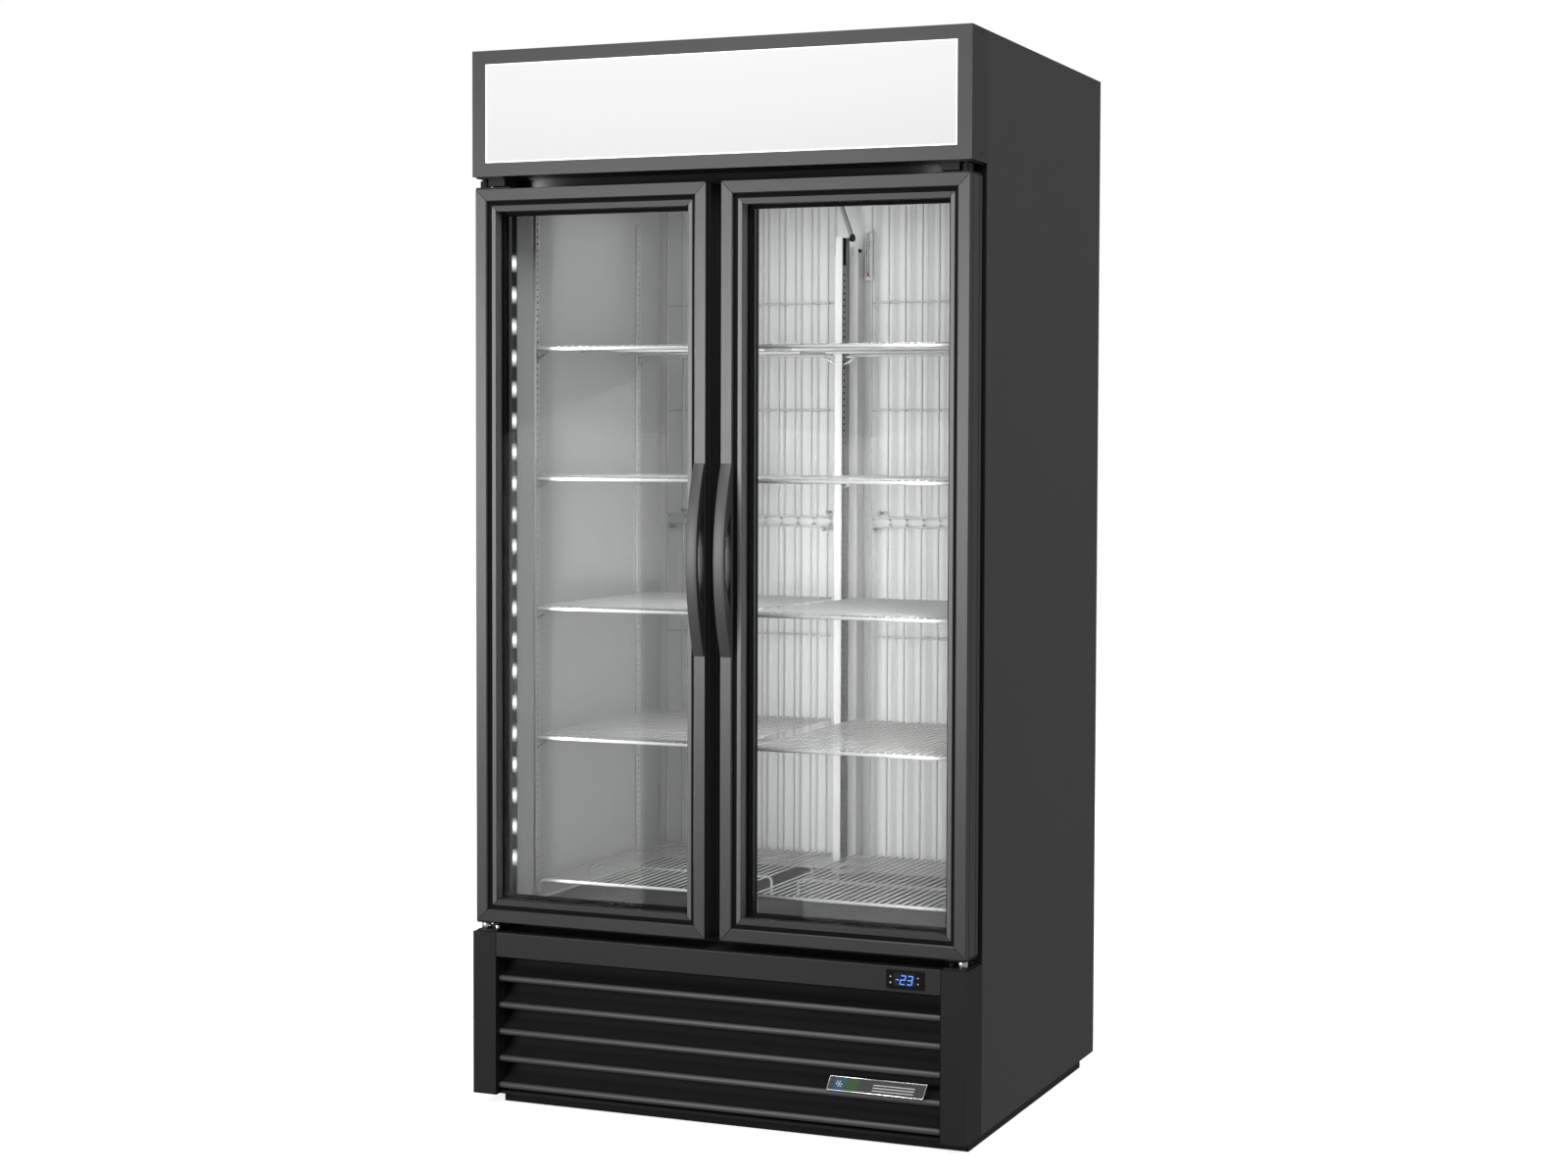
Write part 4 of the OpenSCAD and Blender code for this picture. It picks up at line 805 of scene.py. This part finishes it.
def make_center_post(slot_shades):
    """The rear post: a channel with slots along both flanks, and a long notch at each flank's top."""
    half, front, rear, top = 7.5, 224.0, 262.0, 1684.0
    flank = 24.0
    flank_front = front + SHEET
    flank_rear = flank_front + flank
    notch_z = top - 57
    Shape().block((-half, front, STRIP_Z0), (half, front + 1.2, top)).make(
        "center_post", "white_steel", "white_steel")
    sheets = Shape()
    for side in (-1, 1):
        x = side * (half - SHEET / 2)
        slotted_face(sheets, lambda u, z, x=x: (x, flank_front + u, z), flank, notch_z, 9.0, 4.2)
        upright_sheet(sheets, x, flank_rear, x, rear, STRIP_Z0, top)
        for y0, y1 in ((flank_front, front + 5), (flank_rear - 4, flank_rear)):
            upright_sheet(sheets, x, y0, x, y1, notch_z, top)
        back_x0, back_x1 = sorted((x - side, x - side * 2))
        # Dark block behind each flank: painted shade seen through its slots and its top notch.
        slot_shades.block((back_x0, front + 3, STRIP_Z0 + 2), (back_x1, front + flank - 1, top - 1), 0.2)
    thickened(sheets.make("center_post_flanks", "post_flank", "white_steel"))


def make_mullion_strip(sheets, slot_shades):
    """The strip behind the mullion, slotted in its rear face."""
    _, mullion = span("center_mullion")
    half, front, depth = 8.0, mullion.y, 8.0
    top = span("pilasters")[1].z
    rear = front + depth
    slotted_face(sheets, lambda u, z: (u - half, rear, z), 2 * half, top, 4.2, 6.0)
    for side in (-1, 1):
        upright_sheet(sheets, side * half, front, side * half, rear, STRIP_Z0, top)
    # Dark block behind the slots: painted shade seen through them.
    slot_shades.block((-half + 2, front + 0.2, STRIP_Z0 + 2), (half - 2, front + 1.2, top - 2), 0.2)


def make_shelf_clips():
    """Bent wire clips under the shelf corners, hooked into the slotted strips."""
    strip_x = span("pilasters")[1].x - 4
    half, drop = 3.5, 14
    shape = Shape()
    for level in range(1, 5):
        z = span(f"shelf_right_{level}")[1].z - 9.5
        for side in (-1, 1):
            spots = [(side * strip_x, STRIP_FRONT_Y, -side * 24), (side * strip_x, STRIP_REAR_Y, -side * 24),
                     (side * 7.5, 236.0, side * 27), (side * 8, -239.5, side * 26)]
            for x, y, out in spots:
                bend = ((x - math.copysign(3, out), z - drop), (x + out * 0.2, z - drop), (x + out, z))
                hook = [(u, y - half, w) for u, w in bend] + [(u, y + half, w) for u, w in reversed(bend)]
                shape.tube(soften(hook, 4), 1.7)
                shape.tube([(x - math.copysign(2, out), y, z + 0.5), (x + out * 0.9, y, z + 0.5)], 1.9)
    shape.make("shelf_clip_wires", "zinc", "zinc_steel", ("shelf_clips",), smooth=60)


# ---------------------------------------------------------------- small interior parts

LED_PITCH = 60.4
LED_FIRST_Z = 428.0
LED_COUNT = 20
LENS_HALF = 7.0
LENS_LENGTH = 1290.0


def make_led_strips():
    """Ribbed lenses on the chamfered jambs, and the lamp bars behind the sign."""
    low, high = span("light_strips")
    seam = span("side_panels")[0].y
    corner = LENS_HALF / math.sqrt(2)
    steps = 12
    lens = Shape()
    for side in (-1, 1):
        base = Vector((side * (high.x - corner), seam + 17.05))
        across = Vector((side, -1)).normalized()
        out = Vector((-side, -1)).normalized()
        profile = []
        for k in range(steps + 1):
            u = LENS_HALF * (2 * k / steps - 1)
            rib = 0.5 if abs(u) < 0.7 else 0.0
            lift = 2.6 + 1.3 * math.cos(u / LENS_HALF * math.pi / 2) - rib
            profile.append(base + across * u + out * lift)
        profile += [base + across * LENS_HALF, base - across * LENS_HALF]
        lens.prism(profile, "z", low.z, low.z + LENS_LENGTH, 0.4)
    lens.make("led_lenses", "led", "lamp", ("light_strips",), smooth=60)
    sign_z = span("sign_housing")[0].z
    half_length = 460
    bars = Shape()
    for z in (sign_z + 62, sign_z + 162):
        bars.block((-half_length, seam - 10, z), (half_length, seam, z + 12), 2.5)
    bars.make("sign_lamp_bars", "sign_edge", "lamp")


def make_thermometer():
    """A spirit thermometer on a clear card, with a scale of plain ticks."""
    low, high = span("thermometer")
    x = (low.x + high.x) / 2
    card_front, card_back, tube_y = high.y - 9, high.y - 7.4, high.y - 11.6
    card = Shape()
    card.block((low.x, card_front, low.z), (high.x, card_back, high.z), 0.6)
    for z in (low.z + 12, high.z - 20):
        card.block((low.x + 1, card_back, z), (low.x + 5, high.y, z + 8))
    card.make("thermometer_card", "scale_card", "thermometer_glass", ("thermometer",))
    Shape().tube([(x, tube_y, low.z + 6), (x, tube_y, high.z - 4)], 2.5, 12).make(
        "thermometer_tube", "tube_glass", "thermometer_glass")
    spirit = Shape()
    spirit.tube([(x, tube_y, low.z + 10), (x, tube_y, low.z + 19)], 0.9, 8)
    bulb = [(0, -3.4), (1.8, -2.8), (2.3, 0), (1.8, 2.4), (0.9, 3.2)]
    spirit.lathe(bulb, (x, tube_y, low.z + 9), "z", 12)
    spirit.make("thermometer_spirit", "red", "thermometer_glass")
    clips = Shape()
    for z in (low.z + 4, high.z - 8):
        clips.block((x - 5, tube_y - 3.2, z), (x + 5, card_front, z + 3), 0.8)
    clips.make("thermometer_clips", "white_steel", "thermometer_glass")
    ticks = Shape()
    tick_count, tick_pitch, tick_start = 26, 2.5, 2.9
    for k in range(tick_count):
        z = low.z + 18 + k * tick_pitch
        length = 3.4 if k % 4 == 0 else 2.0
        for side in (-1, 1):
            x0, x1 = sorted((x + side * tick_start, x + side * (tick_start + length)))
            ticks.block((x0, card_front - 0.25, z), (x1, card_front, z + 0.6), 0.1)
    ticks.make("thermometer_scale", "ink", "thermometer_glass")


def make_drain_tube():
    """Sleeved tube from the evaporator to the top of the post, and the white bracket beside it."""
    low, high = span("drain_tube")
    tube_r, tip_r = 4.8, 6.5
    y = (low.y + high.y) / 2
    start = Vector((low.x + tube_r, y, high.z - 2))
    end = Vector((high.x - tip_r, y, low.z + tip_r))
    Shape().tube([start, start.lerp(end, 0.5), end], tube_r, 16).make(
        "drain_tube_sleeve", "tube", "tube_metal", ("drain_tube",), smooth=60)
    tip_profile = [(0, -7.5), (4.2, -6.5), (6.4, -3), (tip_r, 1.5), (5.4, 5), (4.7, 8)]
    Shape().lathe(tip_profile, end, "z", 24).make("drain_tube_tip", "rubber", "black_rubber", smooth=60)
    x0, front, z0 = 8.5, y - 6, end.z - 33.6
    bracket = Shape()
    for width, depth, height in ((17.5, 1.6, 15.5), (1.5, 17, 15.5), (17.5, 17, 1.5)):
        bracket.block((x0, front, z0), (x0 + width, front + depth, z0 + height), 0.6)
    bracket.make("sensor_bracket", "white_steel", "white_steel")
    screw_profile = [(3.8, 14), (3.8, 0.8), (3.2, 0), (1.6, 0), (1.4, 1.2), (0.3, 1.3)]
    Shape().lathe(screw_profile, (24, front + 3, z0 + 8), "y", 20).make(
        "sensor_bracket_screw", "screw", "screw_steel", smooth=50)


def pan_screw(shape, centre, outward, radius):
    """A pan head with a cross recess, its flat side at centre."""
    turn = outward.to_track_quat("Z", "Y").to_matrix()
    sides = 16
    waist = radius * 0.14
    cross = [radius * 0.45, waist * 1.2, waist * 1.6, waist * 1.2]
    levels = [([r * radius], h * radius) for r, h in ((1, 0), (1, 0.25), (0.85, 0.5), (0.5, 0.62))]
    levels += [(cross, radius * 0.6), (cross, radius * 0.25)]
    rings = []
    for radii, h in levels:
        ring = []
        for k, a in enumerate(angles(sides)):
            r = radii[k % len(radii)]
            ring.append(centre + turn @ Vector((r * math.cos(a), r * math.sin(a), h)))
        rings.append(ring)
    shape.loft(rings)


# ---------------------------------------------------------------- grille and controls


def make_grille():
    """Five pressed louvres with rolled lips between two end plates."""
    low, high = span("front_grille")
    lip_r, lip_steps, sheet = 6.0, 14, 1.4
    lip_y = low.y + lip_r
    first_z, pitch, count = 36.0, 51.25, 5
    outer = []
    for k in range(lip_steps + 1):
        a = math.radians(-60 - 210 * k / lip_steps)
        outer.append(Vector((lip_r * math.cos(a), lip_r * math.sin(a))))
    top = outer[-1]
    outer += [top + Vector(p) for p in ((5, 0.6), (13, 4.5), (21, 12), (28, 22), (34, 33), (41, 41))]
    inner = []
    for k, here in enumerate(outer):
        along = (outer[min(k + 1, len(outer) - 1)] - outer[max(k - 1, 0)]).normalized()
        inner.append(here + Vector((along.y, -along.x)) * sheet)
    outline = outer + inner[::-1]
    ends = ((0.6, 1.5), (1.6, 0.5), (3.2, 0.0))
    shape = Shape()
    for k in range(count):
        rings = []
        for x, cut in [(low.x + e, c) for e, c in ends] + [(high.x - e, c) for e, c in reversed(ends)]:
            ring = []
            for point in outline:
                slope = min(max(0.0, point.x - 4.0) * 0.2, 1.0)
                pull = 1 - cut / lip_r if point.x < lip_r else 1.0
                ring.append((x - math.copysign(slope, x), lip_y + point.x * pull,
                             first_z + k * pitch + point.y * pull))
            rings.append(ring)
        shape.loft(rings)
    louvres = shape.make("grille_louvres", "grille", "grille_paint", ("front_grille",), smooth=40)
    # Faces at the front of the lips take the lighter copy, a painted highlight along each lip.
    louvres.data.materials.append(FINISH["lip"])
    for face in louvres.data.polygons:
        if face.center.y < (lip_y + 1.0) * MM:
            face.material_index = 1
    plates = Shape()
    back = lip_y + 54
    for side in (-1, 1):
        x0, x1 = sorted((side * (high.x - 0.2), side * (high.x - 2.4)))
        plates.block((x0, lip_y + 7, low.z), (x1, back - 2, high.z), 0.4)
    plates.block((low.x, back, low.z), (high.x, back + 2, high.z), 0.4)
    plates.block((low.x + 2, lip_y - 2, low.z + 0.3), (high.x - 2, lip_y + 20, low.z + 6), 1.5)
    plates.make("grille_back_plates", "jamb", "grille_paint")


DIGIT_STROKES = {
    "2": ("top", "upper_right", "middle", "lower_left", "bottom"),
    "3": ("top", "upper_right", "middle", "lower_right", "bottom"),
    "-": ("middle",),
}


def make_digit(shape, mark, x, y, z, width, height, lean=0.16):
    """A seven-segment figure whose lower left corner is at x, z."""
    half = height / 2
    lines = {
        "top": ((0, height), (width, height)),
        "middle": ((0, half), (width, half)),
        "bottom": ((0, 0), (width, 0)),
        "upper_right": ((width, half), (width, height)),
        "lower_right": ((width, 0), (width, half)),
        "lower_left": ((0, 0), (0, half)),
    }
    gap, stroke_half, nib, depth = 0.5, 0.85, 0.3, 0.25
    for stroke in DIGIT_STROKES[mark]:
        start, end = (Vector(p) for p in lines[stroke])
        along = (end - start).normalized()
        a = start + along * gap
        b = end - along * gap
        side = Vector((-along.y, along.x)) * stroke_half
        outline = [a - along * nib, a + side, b + side, b + along * nib, b - side, a - side]
        shape.prism([(x + p.x + p.y * lean, z + p.y) for p in outline], "y", y - depth, y)


def make_controller():
    """Controller: rounded bezel, dark window with a lit read-out, and four small keys."""
    low, high = span("controller")
    front, proud, flange, wall = low.y, 0.12, 2.0, 3
    bezel = Shape()
    outline = rounded_rectangle(low.x, high.x, low.z, high.z, 3.0, 5)
    bezel.prism(outline, "y", front, front + flange, 0.5)
    bezel.block((low.x + wall, front + flange, low.z + wall), (high.x - wall, high.y, high.z - wall), 1.0)
    bezel.make("controller_bezel", "bezel", "controller_plastic", ("controller",))
    window = rounded_rectangle(low.x + 15, high.x - 17.5, low.z + 5.5, high.z - 5, 1.5)
    Shape().prism(window, "y", front - proud, front + 0.1, 0.05).make(
        "display_window", "window", "controller_plastic")
    digits = Shape()
    for mark, x, width in (("-", 17.5, 6.0), ("2", 26.5, 9.2), ("3", 40.0, 9.2)):
        make_digit(digits, mark, low.x + x, front - proud, low.z + 9.0, width, 15.5)
    digits.make("display_digits", "digit", "controller_plastic")
    half_turn = math.pi / 2
    icons = (("key_set", 3, 1.9, half_turn), ("key_power", 4, 1.9, half_turn),
             ("key_up", 12, 1.3, half_turn), ("key_down", 3, 1.9, -half_turn))
    for key, corners, size, turn in icons:
        key_low, key_high = span(key)
        x, z = (key_low.x + key_high.x) / 2, (key_low.z + key_high.z) / 2
        radius = (key_high.x - key_low.x) / 2
        profile = [(radius, key_high.y - key_low.y), (radius, 0.6), (radius - 0.25, 0.2), (radius - 0.8, 0.0)]
        Shape().lathe(profile, (x, key_low.y, z), "y", 28).make(
            f"{key}_button", "bezel", "key_plastic", (key,), body=f"{key}_cap")
        mark = [(x + size * math.cos(turn + a), z + size * math.sin(turn + a)) for a in angles(corners)]
        Shape().prism(mark, "y", key_low.y - proud, key_low.y + 0.05).make(
            f"{key}_icon", "icon", "key_plastic", body=f"{key}_cap")


def make_badge():
    """A plain slanted emblem plate: bright rim, dark field, a snow star and level bars."""
    low, high = span("badge")
    front, back = low.y, low.y + 2.5
    slant, margin = 9.0, 2.8
    x0, z0 = low.x, low.z
    width, height = high.x - slant - low.x, high.z - low.z

    def slanted(u0, u1, v0, v1):
        """Outline of a patch whose upright edges lean with the plate."""
        return [(x0 + u + v / height * slant, z0 + v) for u, v in ((u0, v0), (u1, v0), (u1, v1), (u0, v1))]

    rim = Shape()
    outer = counter_clockwise(slanted(0, width, 0, height))
    rings = []
    for y, cut in ((back, 0.0), (front + 0.8, 0.0), (front + 0.1, 0.5), (front, 1.1),
                   (front + 0.1, 1.7), (front + 0.9, 2.2)):
        rings.append([(u, y, v) for u, v in (inset(outer, cut) if cut else outer)])
    rim.loft(rings, caps=False)
    rim.loft([[(u, back, v) for u, v in outer], [(u, back - 0.1, v) for u, v in outer]])
    for x in (x0 + 30, x0 + width - 20):
        rim.tube([(x, back, z0 + 8), (x, front + 17, z0 + 8)], 2.5, 12)
    rim.make("badge_rim", "chrome", "badge_metal", ("badge",), smooth=50)
    Shape().prism(inset(outer, 1.9), "y", front + 0.8, front + 2.0).make(
        "badge_field", "badge_field", "badge_metal")
    for colour, u0, u1 in (("blue", 12, 34), ("green", 34.4, 60)):
        patch = slanted(u0, u1, margin, height - margin)
        Shape().prism(patch, "y", front + 0.5, front + 1.0, 0.1).make(
            f"badge_emblem_{colour}", f"badge_{colour}", "badge_metal")
    bars = Shape()
    for level in (6.5, 11.7, 16.9):
        bars.prism(slanted(88, 168, level, level + 1.8), "y", front + 0.3, front + 1.0, 0.2)
    bars.make("badge_bars", "raised_bar", "badge_metal")
    star = Shape()
    centre = Vector((x0 + 26.5, z0 + height / 2))

    def ray(start, turn, length, radius):
        """One straight line of the star. Returns where it ends."""
        end = start + Vector((math.cos(turn), math.sin(turn))) * length
        star.tube([(start.x, front + 0.5, start.y), (end.x, front + 0.5, end.y)], radius, 6)
        return end

    for turn in angles(6):
        tip = ray(centre, turn, 6.5, 0.6)
        for lean in (-0.7, 0.7):
            ray(centre.lerp(tip, 0.6), turn + lean, 2.2, 0.45)
    # The star's material glows a little: painted light.
    star.make("badge_star", "icon", "badge_metal")


# ---------------------------------------------------------------- sign and outside


PIVOT_INSET = 12
BRACKET_T = 3


def make_sign_face():
    """The lit acrylic panel and the bright strip round its edge."""
    low, high = span("sign_panel")
    Shape().block(low, high, 0.8).make("sign_face", "sign_face", "sign_acrylic", ("sign_panel",))
    sign_low, sign_high = span("sign_housing")
    side, rail = 28.0, 25.5
    rect = (sign_low.x + side, sign_high.x - side, sign_low.z + rail, sign_high.z - rail)
    strip = [(0, 0.6), (2.0, 1.0), (2.0, 1.6), (0, 1.6)]
    Shape().mitred_ring(strip, rect, low.y - 1.8, gap=0.0, chamfer=0.0).make(
        "sign_edge", "sign_edge", "sign_acrylic")


def make_header_edges():
    """A lighter strip along the top edge of the header, a painted highlight where that edge catches the
    light, and the dark joints between it and the columns.
    """
    low, high = span("grille_header")
    front = low.y - 0.1
    Shape().block((low.x + 1, front, high.z - 1.3), (high.x - 1, low.y + 2.0, high.z + 0.1), 0.6).make(
        "header_edge_painted_highlight", "lip", "grille_paint")
    joints = Shape()
    joint_z = span("corner_columns")[0].z + 0.5
    for x in (low.x, high.x):
        joints.block((x - 0.8, front, joint_z), (x + 0.8, low.y + 1.5, high.z - 0.5), 0.1)
    joints.make("column_joints", "slot_shade_and_joint_dark", "grille_paint")


def make_mullion_cover():
    """The grey cover strip on the mullion, seen in the gap between the doors. Its grey is lighter than the
    strip's own dark tone: painted light for the shaded gap.
    """
    low, high = span("center_mullion")
    half = 10.5
    Shape().block((-half, low.y - 1.2, low.z - 20), (half, low.y - 0.1, high.z + 10), 0.4).make(
        "mullion_cover", "mullion", "jamb_plastic")


def make_floor_shade_sheet():
    """A dark grey sheet on the cabinet's floor, under the racks: painted shade for the shadow the racks cast
    on the floor.
    """
    floor = span("floor_racks")[0].z
    wall, front, rear = 444.0, -249.0, 298.0
    Shape().block((-wall, front, floor + 0.05), (wall, rear, floor + 0.8), 0.3).make(
        "floor_shade_sheet", "floor_shade_sheet", "liner_sheet")


def make_hinge_collars():
    """Bright collars on the lower hinge pins, and the left door's stop beside its pin."""
    pivot_x = span("left_door_frame")[0].x + PIVOT_INSET
    pivot_y = span("hinge_brackets")[0].y + 16
    deck = span("corner_columns")[1].z + BRACKET_T
    collar = [(6.4, 0.05), (8.6, 0.05), (9.0, 0.8), (9.0, 10.4), (8.4, 11.4), (6.4, 11.5)]
    stop = [(5.0, 0.05), (5.7, 0.3), (5.7, 6.4), (5.0, 7.3), (2.0, 7.4)]
    shape = Shape()
    for side in (-1, 1):
        shape.lathe(collar, (side * pivot_x, pivot_y, deck), "z", 32)
    shape.lathe(stop, (pivot_x + 22, pivot_y + 4, deck), "z", 24)
    shape.make("hinge_collars", "chrome", "zinc_steel", smooth=50)


def make_outside_screws():
    """Screws in the sign's sides, on the lower hinge brackets, and round the rear and top sheets."""
    sign_low, sign_high = span("sign_housing")
    seam = sign_high.y
    head = [(4.5, -2.0), (4.5, -0.5), (4.1, -0.1), (2.0, -0.1), (0.9, -1.0), (0.2, -1.3)]
    shape = Shape()
    for side in (-1, 1):
        for z in (sign_low.z + 13, sign_high.z - 10):
            turned = [(r, side * (sign_high.x + h)) for r, h in head]
            shape.lathe(turned, (0, seam - 33, z), "x", 24)
    deck = span("corner_columns")[1].z + BRACKET_T
    pivot_x = span("right_door_frame")[1].x - PIVOT_INSET
    for side in (-1, 1):
        for x in (pivot_x - 22, pivot_x):
            pan_screw(shape, Vector((side * x, seam - 14, deck)), Vector((0, 0, 1)), 4.5)
    shape.make("visible_screws", "screw", "screw_steel", ("screws",), smooth=40)
    rear = Shape()
    _, back = span("rear_panel")
    edge, sunk = 12, 2.7
    spots = [(side * (back.x - edge), 60 + k * 264) for side in (-1, 1) for k in range(8)]
    spots += [(180 * k, z) for k in (-2, -1, 0, 1, 2) for z in (48, 330, back.z - edge)]
    for x, z in spots:
        pan_screw(rear, Vector((x, back.y - sunk, z)), Vector((0, 1, 0)), 4.0)
    rear.make("rear_screws", "screw", "screw_steel", smooth=40)


# ---------------------------------------------------------------- machinery


def make_coil(node, fin_pitch, tubes):
    """A block of thin fins crossed by tubes that turn back at both ends."""
    low, high = span(node)
    bend_room, fin_t, plate_t = 18, 0.4, 1.2
    x0, x1 = low.x + bend_room, high.x - bend_room
    fins = Shape()
    count = int((x1 - x0) / fin_pitch)
    for k in range(count + 1):
        x = x0 + (x1 - x0 - fin_t) * k / count
        fins.block((x, low.y, low.z), (x + fin_t, high.y, high.z), 0.05, 1)
    for x in (x0 - plate_t, x1):
        fins.block((x, low.y, low.z), (x + plate_t, high.y, high.z), 0.2)
    fins.make(f"{node}_fins", "coil", "coil_aluminium", (node,))
    pipes = Shape()
    step = (high.z - low.z) / tubes
    reach = bend_room - 5
    for row in (0.28, 0.72):
        y = low.y + (high.y - low.y) * row
        path = []
        for k in range(tubes):
            z = low.z + step * (k + 0.5)
            ends = [(x0 - reach, y, z), (x1 + reach, y, z)]
            path += ends[::-1] if k % 2 else ends
        pipes.tube(soften(path, step * 0.48, 6), 4.2, 10)
    pipes.make(f"{node}_pipes", "copper", "tube_metal", smooth=60)


def make_fan(node, centre, axis, blades=5):
    """Twisted blades on a round hub and shaft. centre is where the axis crosses the plane across it."""
    low, high = span(node)
    place = AXES[axis]
    start_w, end_w = (low.z, high.z) if axis == "z" else (low.y, high.y)
    tip = (high.x - low.x) / 2 - 1.5
    hub, hub_sides = 25.0, 36
    root = hub - 4
    base = start_w + 9.0
    along_steps, across_steps = 8, 6
    skin = 0.8

    def spot(r, a, w):
        return place(centre[0] + r * math.cos(a), centre[1] + r * math.sin(a), w)

    shape = Shape()
    for start in angles(blades):
        rings = []
        for i in range(along_steps + 1):
            share = i / along_steps
            r = root + (tip - root) * share
            width = (0.55 + 0.25 * share) * (1.25 - 0.45 * share)
            pitch = 13.0 - 4.0 * share
            upper, lower = [], []
            for j in range(across_steps + 1):
                t = j / across_steps - 0.5
                a = start + t * width + 0.35 * share
                w = base + t * 1.6 * pitch + 2.5 * math.cos(t * math.pi)
                upper.append(spot(r, a, w + skin))
                lower.append(spot(r, a, w - skin))
            rings.append(upper + lower[::-1])
        shape.loft(rings)
    profile = [(hub - 2, base - 8), (hub, base - 6), (hub, base + 10), (hub - 3, base + 12.5),
               (12, base + 13), (4, base + 13), (4, end_w), (2, end_w)]
    shape.loft([[spot(r, a, min(max(w, start_w), end_w)) for a in angles(hub_sides)] for r, w in profile])
    shape.make(f"{node}_blades", "fan", "fan_plastic", (node,), smooth=40, body=f"{node}_body")


def make_compressor():
    """A hermetic can with a welded seam, feet, terminal cover and pipe stubs."""
    low, high = span("compressor")
    centre = Vector(((low.x + high.x) / 2, (low.y + high.y) / 2, low.z))
    can_r, shoulder, dome, dome_steps = 97, 128, 70, 8
    profile = [(2, 22), (70, 22), (88, 27), (can_r, 40), (98, 92), (100.5, 93), (100.5, 98), (98, 99),
               (can_r, shoulder)]
    for k in range(1, dome_steps):
        a = math.pi / 2 * k / dome_steps
        profile.append((can_r * math.cos(a), shoulder + dome * math.sin(a)))
    profile.append((3, 199.5))
    shape = Shape().lathe(profile, centre, "z", 56)
    shape.block((low.x, centre.y - 78, low.z + 14), (high.x, centre.y + 78, low.z + 18), 1.5)
    cover_end = min(centre.x + 108, high.x)
    shape.block((centre.x + 62, centre.y - 30, low.z + 75), (cover_end, centre.y + 30, low.z + 135), 4)
    shape.make("compressor_can", "compressor", "compressor_paint", ("compressor",), smooth=45)
    feet = Shape()
    foot = [(9, 0.3), (12.5, 0.8), (13, 5), (9, 8), (12, 12), (11, 19), (5, 20)]
    for x in (-95, 95):
        for y in (-66, 66):
            feet.lathe(foot, centre + Vector((x, y, 0)), "z", 24)
    feet.make("compressor_feet", "rubber", "black_rubber", smooth=50)
    pipes = Shape()
    for turn, rise in ((-0.6, 90.0), (0.5, 70.0), (2.4, 80.0)):
        out = Vector((math.cos(turn), math.sin(turn), 0))
        start = centre + out * 90 + Vector((0, 0, 110))
        bend = start + out * 22
        pipes.tube(soften([start, bend, bend + Vector((0, 0, rise))], 12), 4.8, 12)
    pipes.make("compressor_pipes", "copper", "tube_metal", smooth=60)


def make_fan_guard():
    """Round wire guard under the evaporator fan."""
    fan_low, fan_high = span("evaporator_fan")
    middle = Vector((0, (fan_low.y + fan_high.y) / 2, span("evaporator_cover")[0].z - 2.2))
    shape = Shape()
    for radius in (30, 50, 70, 90, 108):
        ring = [middle + Vector((radius * math.cos(a), radius * math.sin(a), 0)) for a in angles(48)]
        shape.tube(ring, 1.3, 6, loop=True)
    for a in angles(4):
        out = Vector((math.cos(a + math.pi / 4), math.sin(a + math.pi / 4), 0))
        shape.tube([middle + out * 14, middle + out * 112], 1.8, 6)
    shape.make("evaporator_fan_guard", "wire", "white_wire", smooth=60)


# ---------------------------------------------------------------- CAD nodes that stay

NODE_FINISHES = {
    "side_panels": ("cabinet", 0.5), "top_panel": ("cabinet", 0.4), "rear_panel": ("galvanised", 0.3),
    "foam_insulation": ("foam", 0), "liner": ("liner", 0), "rear_wall_panel": ("rear_wall", 0.4),
    "door_jamb": ("jamb", 0.6), "center_mullion": ("jamb", 1.0), "base_frame": ("base", 0.6),
    "corner_columns": ("column", 1.0), "grille_header": ("header", 1.0), "sign_housing": ("sign_paint", 0.6),
    "evaporator_cover": ("liner", 0.4), "fan_motors": ("motor", 0.8), "fan_shroud": ("galvanised", 0.4),
    "drip_pan": ("galvanised", 0.4), "control_box": ("galvanised", 0.8), "cord_gland": ("rubber", 0.8),
    "hinge_brackets": ("hinge", 0.5), "left_door_bushes": ("bush", 0.6), "right_door_bushes": ("bush", 0.6),
}


def finish_nodes():
    """Gives every CAD node its material, and softens the edges of those that stay."""
    for node, (finish, width) in NODE_FINISHES.items():
        piece = NODES[node]
        piece.data.materials.clear()
        piece.data.materials.append(FINISH[finish])
        if width:
            bevelled(piece, width)


def light_the_inside():
    """The light that the LED strips throw into the cabinet, and soft fill from its middle and top."""
    for name, side, power in (("strip_light_left", -1, 2.6), ("strip_light_right", 1, 1.3)):
        place = Vector((side * 0.42, -0.302, 1.09))
        inward = Vector((-side * 0.87, 0.5, 0))
        area_light(name, place, place + inward, (0.02, 1.34), power, spread=100.0)
    area_light("centre_fill", (0, -0.225, 1.16), (0, 0.3, 1.16), (0.06, 1.46), 1.2)
    area_light("ceiling_fill", (0, -0.02, 1.745), (0, 0.06, 1.0), (0.7, 0.3), 0.9)


make_camera()
FINISH = make_finishes()
make_studio()
make_floor()
light_the_inside()
finish_nodes()
for door_side in ("left", "right"):
    make_door(door_side)
    for shelf_level in range(1, 5):
        make_shelf(door_side, shelf_level)
make_floor_racks()
make_rear_guards()
make_pilasters()
make_shelf_clips()
make_led_strips()
make_thermometer()
make_drain_tube()
make_grille()
make_controller()
make_badge()
make_sign_face()
make_header_edges()
make_mullion_cover()
make_floor_shade_sheet()
make_hinge_collars()
make_outside_screws()
make_coil("evaporator_coil", fin_pitch=5.0, tubes=5)
make_coil("condenser_coil", fin_pitch=3.0, tubes=8)
make_fan("evaporator_fan", centre=(0, 20), axis="z")
make_fan("condenser_fan", centre=(10, 148.5), axis="y")
make_compressor()
make_fan_guard()
